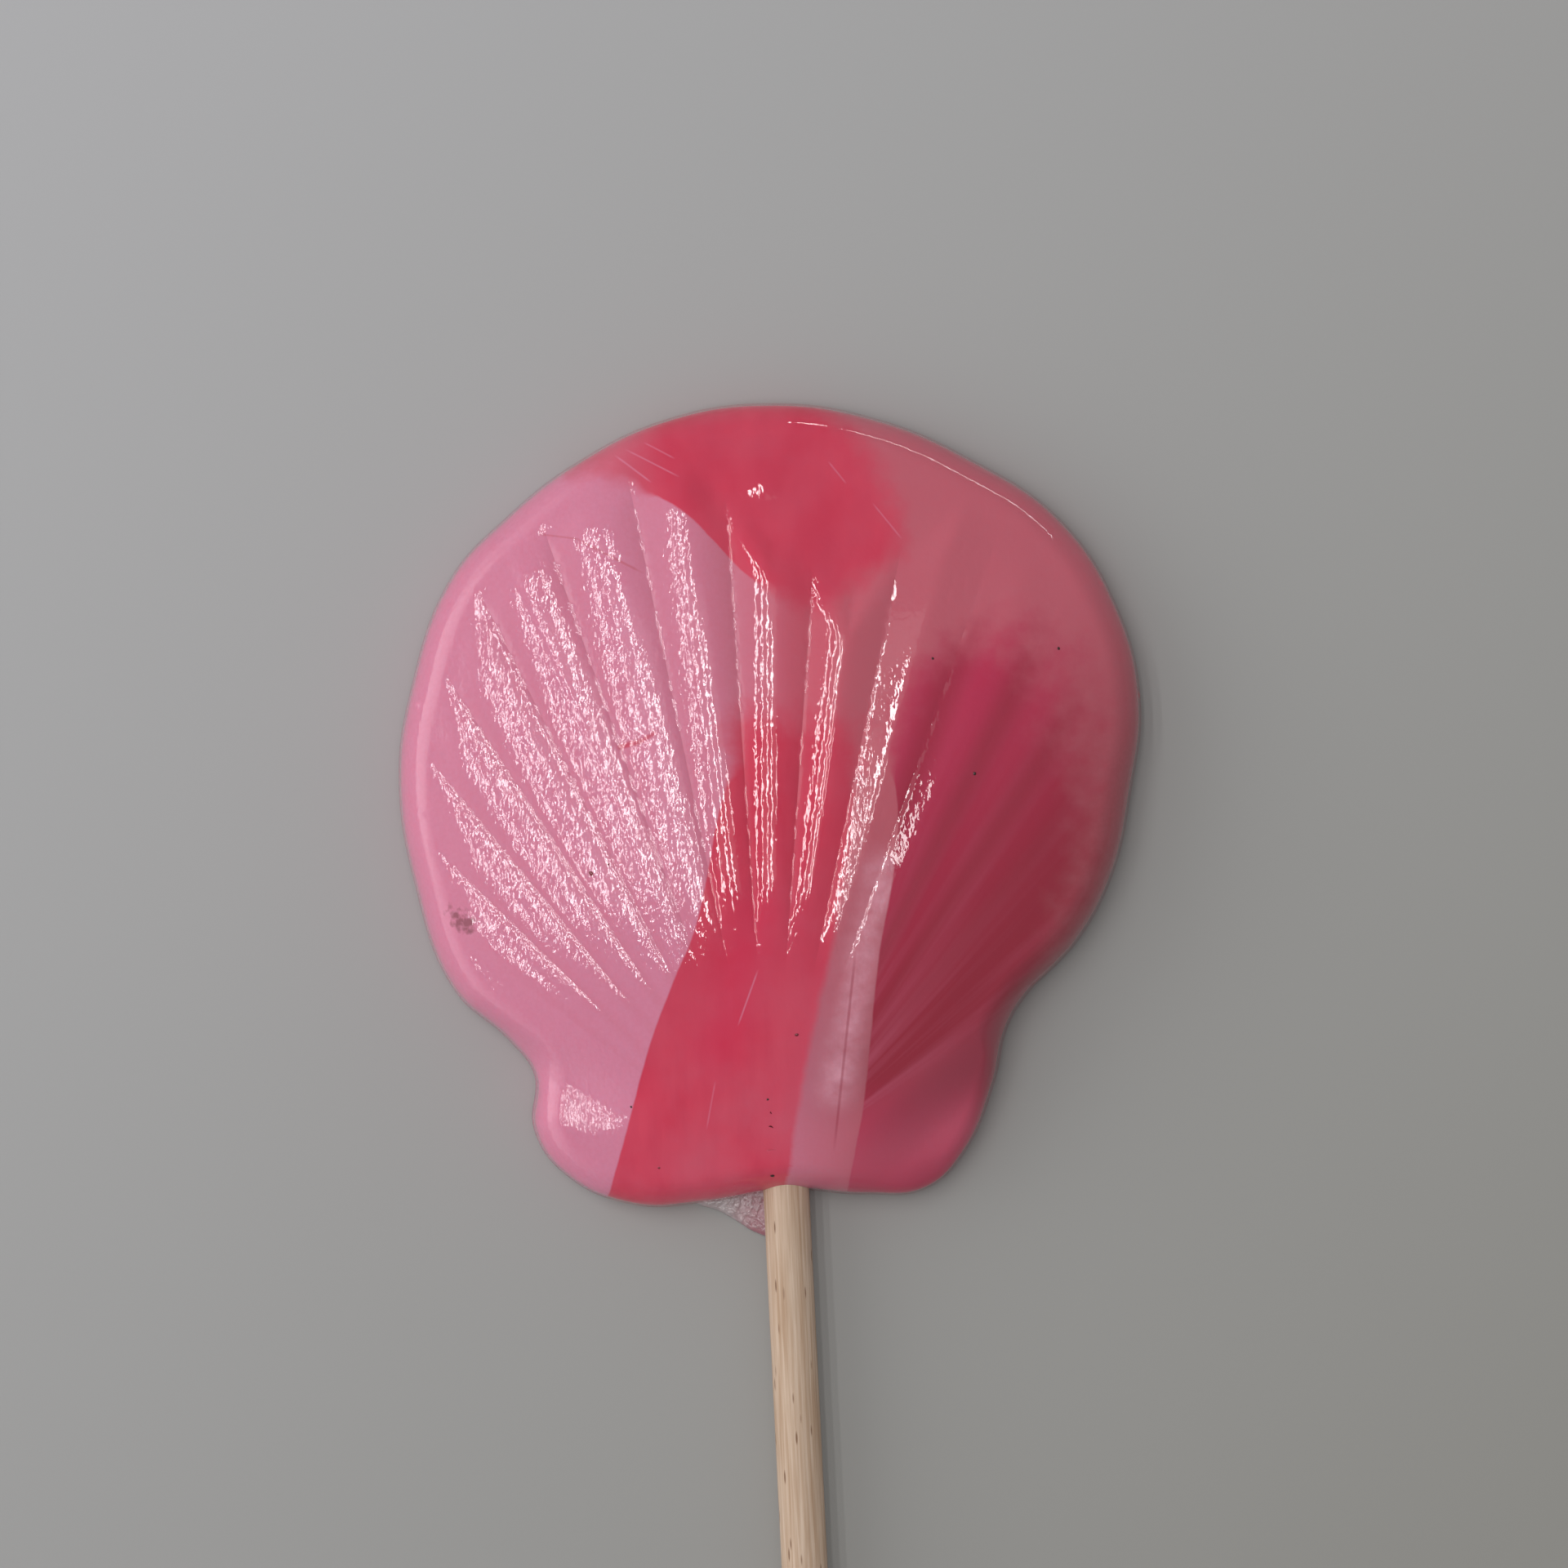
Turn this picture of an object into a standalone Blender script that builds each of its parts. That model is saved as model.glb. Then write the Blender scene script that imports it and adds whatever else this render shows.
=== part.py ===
"""A seashell lollipop: a ribbed scallop of boiled sugar, cast flat-backed on a beech stick.

It lies on its flat back, as it was cast. The origin is the middle of the shell's disc on that
back. +Y points to the top of the shell, the stick leaves toward -Y, and +Z comes out of the
ribbed face. Lengths are metres, angles are degrees.
"""

from math import acos, atan2, cos, pi, radians, sin, tau

import bmesh
import bpy
import numpy as np
from mathutils import Euler, Vector

MM = 0.001

# ---- driving dimensions: the shell ----
# Rim of the shell on its flat back, anticlockwise from the top, as (x, y) in millimetres.
RIM_TOP_LEFT = [(0, 32.6), (-9.1, 31.2), (-17.3, 27.2), (-23.0, 22.7), (-27.9, 17.4)]
RIM_LEFT = [(-31.5, 7.4), (-32.5, -0.1), (-31.1, -9.5), (-27.6, -18.8), (-22.7, -23.3)]
RIM_LEFT_EAR = [(-20.7, -26.0), (-20.7, -30.8), (-18.1, -34.7), (-11.9, -37.5), (-5.7, -37.3)]
RIM_HINGE = [(1.4, -36.2)]
RIM_RIGHT_EAR = [(8.4, -36.6), (13.6, -36.1), (17.0, -32.9), (19.6, -26.9), (20.8, -21.9)]
RIM_RIGHT = [(22.4, -19.2), (26.7, -14.7), (29.9, -8.8), (31.6, -1.2), (32.4, 6.5)]
RIM_TOP_RIGHT = [(30.4, 14.7), (25.3, 22.5), (17.6, 27.7), (9.1, 31.3)]

WALL_HEIGHT = 3.2 * MM  # near-upright wall from the back to where the shoulder starts
WALL_DRAFT = 0.35 * MM  # how far the wall leans in over that height
FOOT_CHAMFER = 0.3 * MM  # broken edge where the wall meets the flat back
SHOULDER = 2.6 * MM  # width of the rounded shoulder, seen from the front
EAR_SHOULDER = 1.5 * MM  # the same along the right ear's side, which is crisper
EAR_SIDE = (-34.5 * MM, -23.5 * MM)  # from y to y
MARGIN_HEIGHT = 6.6 * MM  # thickness at the edge of the dome
DOME_RISE = 4.4 * MM  # what the dome adds in the middle of the disc
DOME_RADIUS = 34.0 * MM
DOME_CENTRE = np.array([0.0, -3.0 * MM])
DOME_END = 1.2  # dome radii from the centre, where the face stops falling

# ---- the ribs, which fan out from the hinge ----
FAN_POINT = np.array([0.14 * MM, -34.3 * MM])  # where the lines of all ribs meet
RIB_BEARINGS = np.array([0.0, 7.8, 15.6, 23.4, 30.0, 36.4, 42.8, 49.2])  # crests, in degrees
CRESTS = np.concatenate([-RIB_BEARINGS[:0:-1], RIB_BEARINGS])
LAST_RIB = len(RIB_BEARINGS) - 0.5  # counted from the middle rib, at the outermost groove
FAN_FADE = 0.3  # of a rib, over which the fan ends to each side of that groove
# The ribs are flat-topped on the left, round in the middle and nearly flat on the right.
CREST_BEARINGS = (-28.0, -18.0, -9.0, -3.9, 0.0, 8.0, 11.6, 11.8, 19.4, 19.6, 26.5, 29.0)
CREST_RADII = (20.0, 17.0, 7.5, 5.2, 5.0, 3.4, 3.4, 3.5, 3.5, 2.5, 2.5, 18.0)  # mm
FLANK_SLOPES = (0.25, 0.25, 0.25, 0.31, 0.31, 0.34, 0.30, 0.12, 0.12, 0.055, 0.055, 0.015)
TOP_RIGHT_SLOPE = 0.03  # more of it towards the upper right
TOP_RIGHT_FROM = (19.0, 6.0 * MM)  # bearing and y where that starts
TOP_RIGHT_FULL = (27.0, 16.0 * MM)
EDGE_WIDTH = 0.50 * MM  # the flanks turn down to the groove over this width
EDGE_RADIUS = 2.8 * MM
RIGHT_BEARINGS = (8.0, 28.0)  # from where the ribs start as in the middle to as on the right
RIB_START_LEFT = (17.0 * MM, 25.0 * MM)  # reach from the fan point over which ribs appear
RIB_START_RIGHT = (12.0 * MM, 22.0 * MM)
END_BEARINGS = (-16.0, -7.0, 0.0, 8.0, 16.0)
ENDS_LOW = (2.4, 4.0, 12.0, 15.0, 3.0)  # mm from the rim, where the ribs have died away
ENDS_HIGH = (6.0, 8.5, 16.0, 19.5, 8.0)  # mm from the rim, where they are whole

# ---- the two ears beside the hinge, set off from the disc by a valley and by a step ----
# Start at the rim's notch, end inside, depth and half width of each.
LEFT_VALLEY = ((-21.4 * MM, -24.6 * MM), (-9.5 * MM, -30.5 * MM), 1.3 * MM, 2.3 * MM)
VALLEY_FADE = (0.2, 1.0)  # share of its length over which the valley fades out
RIGHT_STEP = ((21.3 * MM, -21.3 * MM), (6.5 * MM, -35.0 * MM), 1.7 * MM, 2.6 * MM)
STEP_FADE = (0.55, 1.1)

# ---- driving dimensions: the stick, its bore and the film of sugar beside it ----
STICK_DIAMETER = 4.0 * MM
STICK_LENGTH = 150.0 * MM
STICK_INSIDE = 32.0 * MM  # length sunk in the sugar
STICK_HEIGHT = 3.2 * MM  # axis above the flat back
STICK_ENTRY = (1.4 * MM, -36.2 * MM)  # where its axis crosses the rim
STICK_LEAN = 2.8  # degrees that the stick's free end leans to +X
STICK_SOFTENED = 0.25 * MM  # sanded edge at each end
BORE_CLEARANCE = 0.3 * MM
FILM_OUTLINE = [(-9.0, -34.5), (-6.6, -37.3), (-4.6, -38.0), (-2.8, -39.0), (-1.3, -39.9)]
FILM_UNDER_STICK = [(0.3, -40.2), (1.6, -38.9), (2.0, -34.5)]
FILM_BOTTOM = 0.15 * MM
FILM_THICKNESS = 0.5 * MM

# ---- mesh density ----
SPOKES_PER_RIB = 6
SPOKES_ROUND_HINGE = 46
CROWN_RINGS = 18
KNEE_SHARE = 3.0 / CROWN_RINGS  # of the rings lie inside the spokes' knee
SHOULDER_RINGS = 5
MESH_POLE = np.array([0.0, -28.0 * MM])  # where the spokes of the mesh start
KNEE_REACH = 11.0 * MM  # the spokes follow the ribs down to here, then turn to the pole
HINGE_KNEE = 1.0 * MM  # from the pole to the knee of the spoke that meets the hinge
CURVE_STEPS = 16  # readings of the rim's curve between two of its points
ROUND_SIDES = 32


def clear_scene():
    for obj in list(bpy.data.objects):
        bpy.data.objects.remove(obj, do_unlink=True)


def new_collection(name):
    collection = bpy.data.collections.new(name)
    bpy.context.scene.collection.children.link(collection)
    return collection


def principled(name, colour, roughness, subsurface=0.0):
    """A Principled BSDF with the piece's colour (linear RGB) and roughness."""
    material = bpy.data.materials.new(name)
    material.use_nodes = True
    shader = material.node_tree.nodes["Principled BSDF"]
    shader.inputs["Base Color"].default_value = (*colour, 1.0)
    shader.inputs["Roughness"].default_value = roughness
    shader.inputs["Metallic"].default_value = 0.0
    shader.inputs["Subsurface Weight"].default_value = subsurface
    material.diffuse_color = (*colour, 1.0)
    return material


def smoothstep(low, high, value):
    """0 below low, 1 above high, with an even ramp between."""
    share = np.clip((value - low) / (high - low), 0.0, 1.0)
    return share * share * (3.0 - 2.0 * share)


# ---------------------------------------------------------------- the rim
def rim_line():
    """The rim as a dense closed line, read from a Bezier curve with automatic handles."""
    points = RIM_TOP_LEFT + RIM_LEFT + RIM_LEFT_EAR + RIM_HINGE
    points += RIM_RIGHT_EAR + RIM_RIGHT + RIM_TOP_RIGHT
    curve = bpy.data.curves.new("rim", "CURVE")
    curve.dimensions = "3D"
    curve.resolution_u = CURVE_STEPS
    spline = curve.splines.new("BEZIER")
    spline.bezier_points.add(len(points) - 1)
    for knot, (x, y) in zip(spline.bezier_points, points):
        knot.co = (x * MM, y * MM, 0.0)
        knot.handle_left_type = knot.handle_right_type = "AUTO"
    spline.use_cyclic_u = True
    holder = bpy.data.objects.new("rim", curve)
    bpy.context.scene.collection.objects.link(holder)
    bpy.context.view_layer.update()
    line = np.array([vertex.co[:2] for vertex in holder.to_mesh().vertices])
    bpy.data.objects.remove(holder, do_unlink=True)
    return line


def fan_bearing(points):
    """Bearing of points from the fan point, in degrees, 0 on +Y and positive toward +X."""
    return np.degrees(np.arctan2(points[:, 0] - FAN_POINT[0], points[:, 1] - FAN_POINT[1]))


def rib_count(bearing):
    """Ribs from the middle one, as a number that is whole on a crest."""
    steps = np.arange(len(RIB_BEARINGS) + 1)
    marks = np.append(RIB_BEARINGS, 2 * RIB_BEARINGS[-1] - RIB_BEARINGS[-2])
    return np.sign(bearing) * np.interp(np.abs(bearing), marks, steps)


def inward_from(before, after):
    """Unit normals to the left of the way from before to after."""
    ahead = (after - before) / np.linalg.norm(after - before, axis=1, keepdims=True)
    return np.column_stack([-ahead[:, 1], ahead[:, 0]])


def shoulder_width(rim):
    """The shoulder's width at each point of the rim, as a column."""
    low, high = EAR_SIDE
    y = rim[:, 1]
    on_side = smoothstep(low - MM, low + MM, y) * (1.0 - smoothstep(high - MM, high + MM, y))
    return (SHOULDER + (EAR_SHOULDER - SHOULDER) * on_side * (rim[:, 0] > 0.0))[:, None]


def crown_edge(rim, inward):
    """Where the rounded shoulder ends and the face begins."""
    return rim + inward * (WALL_DRAFT + shoulder_width(rim))


def rim_stations(line):
    """(rim points, inward normals), one for each spoke of the mesh, anticlockwise.

    Over the fan the spokes share out each rib evenly. Round the hinge and the ears they
    stand at even steps along the rim.
    """
    closed = np.vstack([line, line[:1]])
    along = np.concatenate([[0.0], np.cumsum(np.linalg.norm(np.diff(closed, axis=0), axis=1))])
    turn = along[-1]
    steps = np.linspace(LAST_RIB, -LAST_RIB, len(CRESTS) * SPOKES_PER_RIB + 1)
    marks = np.linspace(-60.0, 60.0, 1201)
    bearings = np.interp(steps, rib_count(marks), marks)
    doubled = np.concatenate([along[:-1] - turn, along[:-1]])
    edge = crown_edge(line, inward_from(np.roll(line, 1, axis=0), np.roll(line, -1, axis=0)))
    seen = np.tile(fan_bearing(edge), 2)
    far = np.tile(np.linalg.norm(edge - FAN_POINT, axis=1) > 2.0 * KNEE_REACH, 2)
    upper = (np.abs(seen) < bearings[0] + RIB_BEARINGS[1]) & (np.abs(doubled) < turn / 2.0) & far
    fan = np.interp(-bearings, -seen[upper], doubled[upper])
    hinge = np.linspace(fan[-1], fan[0] + turn, SPOKES_ROUND_HINGE + 1)[1:-1]
    stations = np.concatenate([fan, hinge]) % turn

    def at(distance):
        return np.column_stack(
            [np.interp(distance % turn, along, closed[:, axis]) for axis in (0, 1)]
        )

    return at(stations), inward_from(at(stations - MM), at(stations + MM))


# ---------------------------------------------------------------- the relief
def distance_to_rim(points, line):
    return np.min(np.linalg.norm(points[:, None, :] - line[None, :, :], axis=2), axis=1)


def valley(points, start, end, depth, half_width):
    """Depth of a valley that starts at the rim's notch and fades out inside the shell."""
    start, run = np.array(start), np.array(end) - np.array(start)
    share = np.clip((points - start) @ run / (run @ run), 0.0, 1.0)
    aside = np.linalg.norm(points - start - share[:, None] * run, axis=1)
    return depth * (1.0 - smoothstep(*VALLEY_FADE, share)) * np.exp(-((aside / half_width) ** 2))


def step_down(points, start, end, depth, half_width):
    """Depth of a soft step to a lower face, on the left of the way from start to end."""
    start, run = np.array(start), np.array(end) - np.array(start)
    length = np.linalg.norm(run)
    across = ((points - start) @ np.array([-run[1], run[0]])) / length
    along = ((points - start) @ run) / length**2
    return depth * smoothstep(-half_width, half_width, across) * (1.0 - smoothstep(*STEP_FADE, along))


def ribs(points, inside):
    """Height of the face over the grooves: round crests with flanks that straighten out."""
    reach = np.linalg.norm(points - FAN_POINT, axis=1)
    bearing = fan_bearing(points)
    radius = np.interp(bearing, CREST_BEARINGS, CREST_RADII) * MM
    top_right = smoothstep(TOP_RIGHT_FROM[0], TOP_RIGHT_FULL[0], bearing)
    top_right *= smoothstep(TOP_RIGHT_FROM[1], TOP_RIGHT_FULL[1], points[:, 1])
    slope = np.interp(bearing, CREST_BEARINGS, FLANK_SLOPES) + TOP_RIGHT_SLOPE * top_right

    def fall(aside):
        """Depth below a crest at this distance from it."""
        return radius * slope**2 * np.log(np.cosh(aside / (radius * slope)))

    near, next_one = np.sort(np.abs(bearing[:, None] - CRESTS), axis=1)[:, :2].T * np.radians(reach)
    height = fall((near + next_one) / 2.0) - fall(near)
    edge = np.maximum(0.0, EDGE_WIDTH - (next_one - near) / 2.0)
    height -= edge**2 / (2.0 * EDGE_RADIUS) * np.minimum(1.0, slope / FLANK_SLOPES[0])
    rightward = smoothstep(*RIGHT_BEARINGS, bearing)
    start, full = [
        left + (right - left) * rightward for left, right in zip(RIB_START_LEFT, RIB_START_RIGHT)
    ]
    low, high = (np.interp(bearing, END_BEARINGS, ends) * MM for ends in (ENDS_LOW, ENDS_HIGH))
    height *= smoothstep(0.0, 1.0, (reach - start) / (full - start))
    height *= smoothstep(0.0, 1.0, (inside - low) / (high - low))
    count = np.abs(rib_count(bearing))
    return height * (1.0 - smoothstep(LAST_RIB - FAN_FADE, LAST_RIB + FAN_FADE, count))


def crown(points, line):
    """Thickness of the shell away from its rounded shoulder."""
    radius = np.linalg.norm(points - DOME_CENTRE, axis=1) / DOME_RADIUS
    height = MARGIN_HEIGHT + DOME_RISE * (1.0 - np.minimum(radius, DOME_END) ** 2)
    height -= valley(points, *LEFT_VALLEY) + step_down(points, *RIGHT_STEP)
    return height + ribs(points, distance_to_rim(points, line))


# ---------------------------------------------------------------- the shell
def hinge_knees(edge, knee, hinge):
    """Knees for the spokes below the fan, in an even turn round the pole from fan to fan."""
    ends = [hinge.start - 1, 0]
    out, inner = edge[hinge] - MESH_POLE, knee[ends] - MESH_POLE
    fan_turns = [np.arctan2(-way[:, 0], way[:, 1]) % tau for way in (edge[ends] - MESH_POLE, inner)]
    turn = np.arctan2(-out[:, 0], out[:, 1]) % tau
    angle = np.interp(turn, *fan_turns)
    far = np.linalg.norm(inner, axis=1)
    radius = np.interp(turn, (fan_turns[0][0], pi, fan_turns[0][1]), (far[0], HINGE_KNEE, far[1]))
    return MESH_POLE + radius[:, None] * np.column_stack([-np.sin(angle), np.cos(angle)])


def raised(points, heights):
    return np.column_stack([points, np.broadcast_to(heights, len(points))])


def shell_rings(line):
    """Rings of points from the pole on the face, over the rim, to the pole on the back."""
    rim, inward = rim_stations(line)
    pole = np.tile(MESH_POLE, (len(rim), 1))
    edge = crown_edge(rim, inward)
    knee = FAN_POINT + (edge - FAN_POINT) * KNEE_REACH / np.linalg.norm(
        edge - FAN_POINT, axis=1, keepdims=True
    )
    hinge = slice(len(CRESTS) * SPOKES_PER_RIB + 1, None)
    knee[hinge] = hinge_knees(edge, knee, hinge)
    rings = []
    for ring in range(CROWN_RINGS + 1):
        share = ring / CROWN_RINGS
        inner = min(1.0, share / KNEE_SHARE)
        outer = max(0.0, (share - KNEE_SHARE) / (1.0 - KNEE_SHARE))
        points = pole + (knee - pole) * inner + (edge - knee) * outer
        rings.append(raised(points, crown(points, line)))
    for ring in range(1, SHOULDER_RINGS + 1):
        angle = radians(90.0 * (1.0 - ring / SHOULDER_RINGS))
        points = rim + inward * (WALL_DRAFT + shoulder_width(rim) * (1.0 - cos(angle)))
        heights = WALL_HEIGHT + (crown(points, line) - WALL_HEIGHT) * sin(angle)
        rings.append(raised(points, heights))
    rings.append(raised(rim, FOOT_CHAMFER))
    rings.append(raised(rim + inward * FOOT_CHAMFER, 0.0))
    rings.append(raised(pole, 0.0))
    return rings


def make_shell(line, material):
    """A globe whose meridians become the spokes and whose parallels become the rings."""
    rings = shell_rings(line)
    spokes, last = len(rings[0]), len(rings) - 1
    bm = bmesh.new()
    bmesh.ops.create_uvsphere(bm, u_segments=spokes, v_segments=last, radius=1.0)
    for vertex in bm.verts:
        ring = round(acos(max(-1.0, min(1.0, vertex.co.z))) / pi * last)
        spoke = round(atan2(vertex.co.y, vertex.co.x) / tau * spokes) % spokes
        vertex.co = rings[ring][spoke]
    bmesh.ops.recalc_face_normals(bm, faces=bm.faces)
    mesh = bpy.data.meshes.new("candy_shell")
    bm.to_mesh(mesh)
    bm.free()
    mesh.shade_smooth()
    mesh.materials.append(material)
    return bpy.data.objects.new("candy_shell", mesh)


# ---------------------------------------------------------------- the stick and its bore
def stick_direction():
    """Unit vector from the shell out along the stick."""
    return Vector((sin(radians(STICK_LEAN)), -cos(radians(STICK_LEAN)), 0.0))


def rod(name, radius, inner, outer):
    """A round rod on the stick's axis, between two distances from the stick's entry."""
    bm = bmesh.new()
    bmesh.ops.create_cone(
        bm,
        cap_ends=True,
        segments=ROUND_SIDES,
        radius1=radius,
        radius2=radius,
        depth=outer - inner,
    )
    mesh = bpy.data.meshes.new(name)
    bm.to_mesh(mesh)
    bm.free()
    obj = bpy.data.objects.new(name, mesh)
    middle = stick_direction() * (inner + outer) / 2.0
    obj.location = Vector((*STICK_ENTRY, STICK_HEIGHT)) + middle
    obj.rotation_euler = Euler((radians(90.0), 0.0, radians(STICK_LEAN)))
    return obj


def make_stick(material):
    stick = rod("stick", STICK_DIAMETER / 2.0, -STICK_INSIDE, STICK_LENGTH - STICK_INSIDE)
    stick.data.materials.append(material)
    stick.data.shade_smooth()
    stick.data.set_sharp_from_angle(angle=radians(40.0))
    sanded = stick.modifiers.new("sanded ends", "BEVEL")
    sanded.width = STICK_SOFTENED
    sanded.segments = 2
    sanded.limit_method = "ANGLE"
    sanded.angle_limit = radians(60.0)
    return stick


def make_film():
    """The thin film of sugar that ran out beside the stick while the shell was cast."""
    outline = [Vector((x * MM, y * MM, FILM_BOTTOM)) for x, y in FILM_OUTLINE + FILM_UNDER_STICK]
    bm = bmesh.new()
    face = bm.faces.new([bm.verts.new(point) for point in outline])
    wall = bmesh.ops.extrude_face_region(bm, geom=[face])
    top = [item for item in wall["geom"] if isinstance(item, bmesh.types.BMVert)]
    bmesh.ops.translate(bm, verts=top, vec=(0.0, 0.0, FILM_THICKNESS))
    bmesh.ops.recalc_face_normals(bm, faces=bm.faces)
    mesh = bpy.data.meshes.new("film")
    bm.to_mesh(mesh)
    bm.free()
    return bpy.data.objects.new("film", mesh)


def as_helper(obj, collection):
    """Keeps a cutter or a filler out of the picture."""
    collection.objects.link(obj)
    obj.hide_render = True
    obj.display_type = "WIRE"
    return obj


def combine(target, helper, operation):
    boolean = target.modifiers.new(helper.name, "BOOLEAN")
    boolean.operation = operation
    boolean.solver = "EXACT"
    boolean.object = helper


def main():
    clear_scene()
    parts = new_collection("seashell_lollipop")
    helpers = new_collection("helpers")
    helpers.hide_render = True

    sugar = principled("boiled sugar", (0.62, 0.17, 0.28), 0.28, subsurface=0.4)
    beech = principled("beech dowel", (0.50, 0.36, 0.25), 0.65)

    shell = make_shell(rim_line(), sugar)
    parts.objects.link(shell)
    parts.objects.link(make_stick(beech))

    bore_radius = STICK_DIAMETER / 2.0 + BORE_CLEARANCE
    bore = rod("bore", bore_radius, -STICK_INSIDE - BORE_CLEARANCE, STICK_DIAMETER)
    combine(shell, as_helper(make_film(), helpers), "UNION")
    combine(shell, as_helper(bore, helpers), "DIFFERENCE")
    bpy.context.view_layer.update()


main()
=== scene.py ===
# %% [markdown]
# # A seashell lollipop, finished in Blender
#
# The real thing is one piece of boiled sugar, poured in swirls of clear red and opaque pink
# into a scallop mould, and set round a turned beech stick. It lies on its flat back.
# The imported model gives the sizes. This script keeps its shape and adds what makes sugar look
# like sugar: a much finer surface, flowing colours, gloss, grain, and a stick with real figure.
# All lengths are metres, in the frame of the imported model: +Y is the top of the shell, and +Z
# comes out of the ribbed face.

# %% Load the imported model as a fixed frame
from math import atan2, cos, pi, radians, sin, sqrt, tan, tau

import bmesh
import bpy
import numpy as np
from mathutils import Matrix, Vector, noise
from mathutils.bvhtree import BVHTree


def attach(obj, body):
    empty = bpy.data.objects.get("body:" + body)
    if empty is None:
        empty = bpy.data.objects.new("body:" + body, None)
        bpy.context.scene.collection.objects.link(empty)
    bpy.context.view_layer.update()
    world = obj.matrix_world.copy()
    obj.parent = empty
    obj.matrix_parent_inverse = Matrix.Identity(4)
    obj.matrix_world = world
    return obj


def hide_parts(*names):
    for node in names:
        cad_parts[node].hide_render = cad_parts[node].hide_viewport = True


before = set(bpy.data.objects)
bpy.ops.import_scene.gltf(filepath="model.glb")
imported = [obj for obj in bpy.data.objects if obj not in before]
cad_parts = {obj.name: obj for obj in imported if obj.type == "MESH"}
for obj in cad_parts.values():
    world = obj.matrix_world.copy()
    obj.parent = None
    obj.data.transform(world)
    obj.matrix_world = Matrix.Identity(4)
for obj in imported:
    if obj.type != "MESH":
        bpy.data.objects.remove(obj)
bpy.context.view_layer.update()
print("packed nodes:", sorted(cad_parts))

# %% [markdown]
# ## A few helpers
#
# Colours are written as sRGB hex, the way they are picked from a swatch, but shaders work in
# linear light, so one function converts them. One function adds any shader node with its
# settings and links, and another starts a material with the numbers that are the same all over
# it. Outlines are smooth closed lines through a few points: a Bezier curve with automatic
# handles gives round, even bends, which suits poured sugar. Two small functions put an object
# in the scene and fade a number in.

# %% Units and colours
MM = 0.001


def linear(hex_colour):
    """'#d28099' in sRGB as a linear RGBA colour."""
    channels = [int(hex_colour[at : at + 2], 16) / 255 for at in (1, 3, 5)]
    return [c / 12.92 if c <= 0.04045 else ((c + 0.055) / 1.055) ** 2.4 for c in channels] + [1.0]


print("pink #d28099 in linear light:", [round(c, 3) for c in linear("#d28099")[:3]])


# %% Nodes, materials, objects and smooth outlines
def add(tree, kind, inputs=(), output=0, **settings):
    """Adds a shader node, and returns one of its outputs.

    The inputs are a dict by name or place, or a tuple in the node's own order. Each is a value,
    or the output that feeds it.
    """
    node = tree.nodes.new(kind)
    for name, value in settings.items():
        setattr(node, name, value)
    for name, value in inputs.items() if isinstance(inputs, dict) else enumerate(inputs):
        if isinstance(value, bpy.types.NodeSocket):
            tree.links.new(value, node.inputs[name])
        else:
            node.inputs[name].default_value = value
    return node.outputs[output]


def new_material(name, numbers):
    """A material, its node tree, and its shader with these numbers on its own sockets."""
    material = bpy.data.materials.new(name)
    material.use_nodes = True
    shader = material.node_tree.nodes["Principled BSDF"]
    for socket, number in numbers.items():
        shader.inputs[socket].default_value = number
    return material, material.node_tree, shader


def placed(name, data):
    """A new object in the scene."""
    made = bpy.data.objects.new(name, data)
    bpy.context.scene.collection.objects.link(made)
    return made


def smooth_outline(points, steps=16):
    """A dense closed line through points given in millimetres, as an array in metres."""
    curve = bpy.data.curves.new("outline", "CURVE")
    curve.dimensions = "3D"
    curve.resolution_u = steps
    spline = curve.splines.new("BEZIER")
    spline.bezier_points.add(len(points) - 1)
    for knot, (x, y) in zip(spline.bezier_points, points):
        knot.co = (x * MM, y * MM, 0.0)
        knot.handle_left_type = knot.handle_right_type = "AUTO"
    spline.use_cyclic_u = True
    holder = placed("outline", curve)
    bpy.context.view_layer.update()
    line = np.array([vertex.co[:2] for vertex in holder.to_mesh().vertices])
    bpy.data.objects.remove(holder, do_unlink=True)
    return line


def ramp(low, high, value):
    """0 below low, 1 above high, with a smooth ramp between."""
    share = np.clip((value - low) / (high - low), 0.0, 1.0)
    return share * share * (3.0 - 2.0 * share)


print("a third of the way up a ramp from 0 to 1:", round(float(ramp(0.0, 3.0, 1.0)), 3))

# %% [markdown]
# ## Camera and floor
#
# The lollipop is seen square on, so the camera looks straight down, and a long lens keeps the
# stick from tapering. It lies on a sheet of matt paper whose colour is painted from pale grey at
# the upper left to a darker, warmer grey at the lower right: painted shade, as one big window's
# light falls off across a studio's roll of paper.

# %% Camera
VIEW_CENTRE = (1.2 * MM, -0.7 * MM)
VIEW_WIDTH = 137.1 * MM  # what the square frame takes in, at the height of the rim
RIM_HEIGHT = 0.3 * MM
CAMERA_HEIGHT = 0.6
SENSOR = 36.0

camera = placed("camera", bpy.data.cameras.new("camera"))
camera.location = (*VIEW_CENTRE, CAMERA_HEIGHT + RIM_HEIGHT)
camera.data.sensor_width = SENSOR
camera.data.lens = SENSOR * CAMERA_HEIGHT / VIEW_WIDTH
camera.data.clip_start = 0.01
bpy.context.scene.camera = camera
bpy.context.scene.view_settings.view_transform = "Standard"
print("lens, mm:", round(camera.data.lens, 1))

# %% Floor
FLOOR_SIZE = 4.0
FLOOR_DROP = 0.05 * MM  # keeps the floor just clear of the flat back
# The paper's colour goes from light to dark as painted shade of the window's light falling off.
FLOOR_LIGHT, FLOOR_DARK = "#b6b5b6", "#979590"
FLOOR_SHADE_FADE = (-0.136, 0.136)  # x - y, in metres, from the light end of the paper to the dark one


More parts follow.
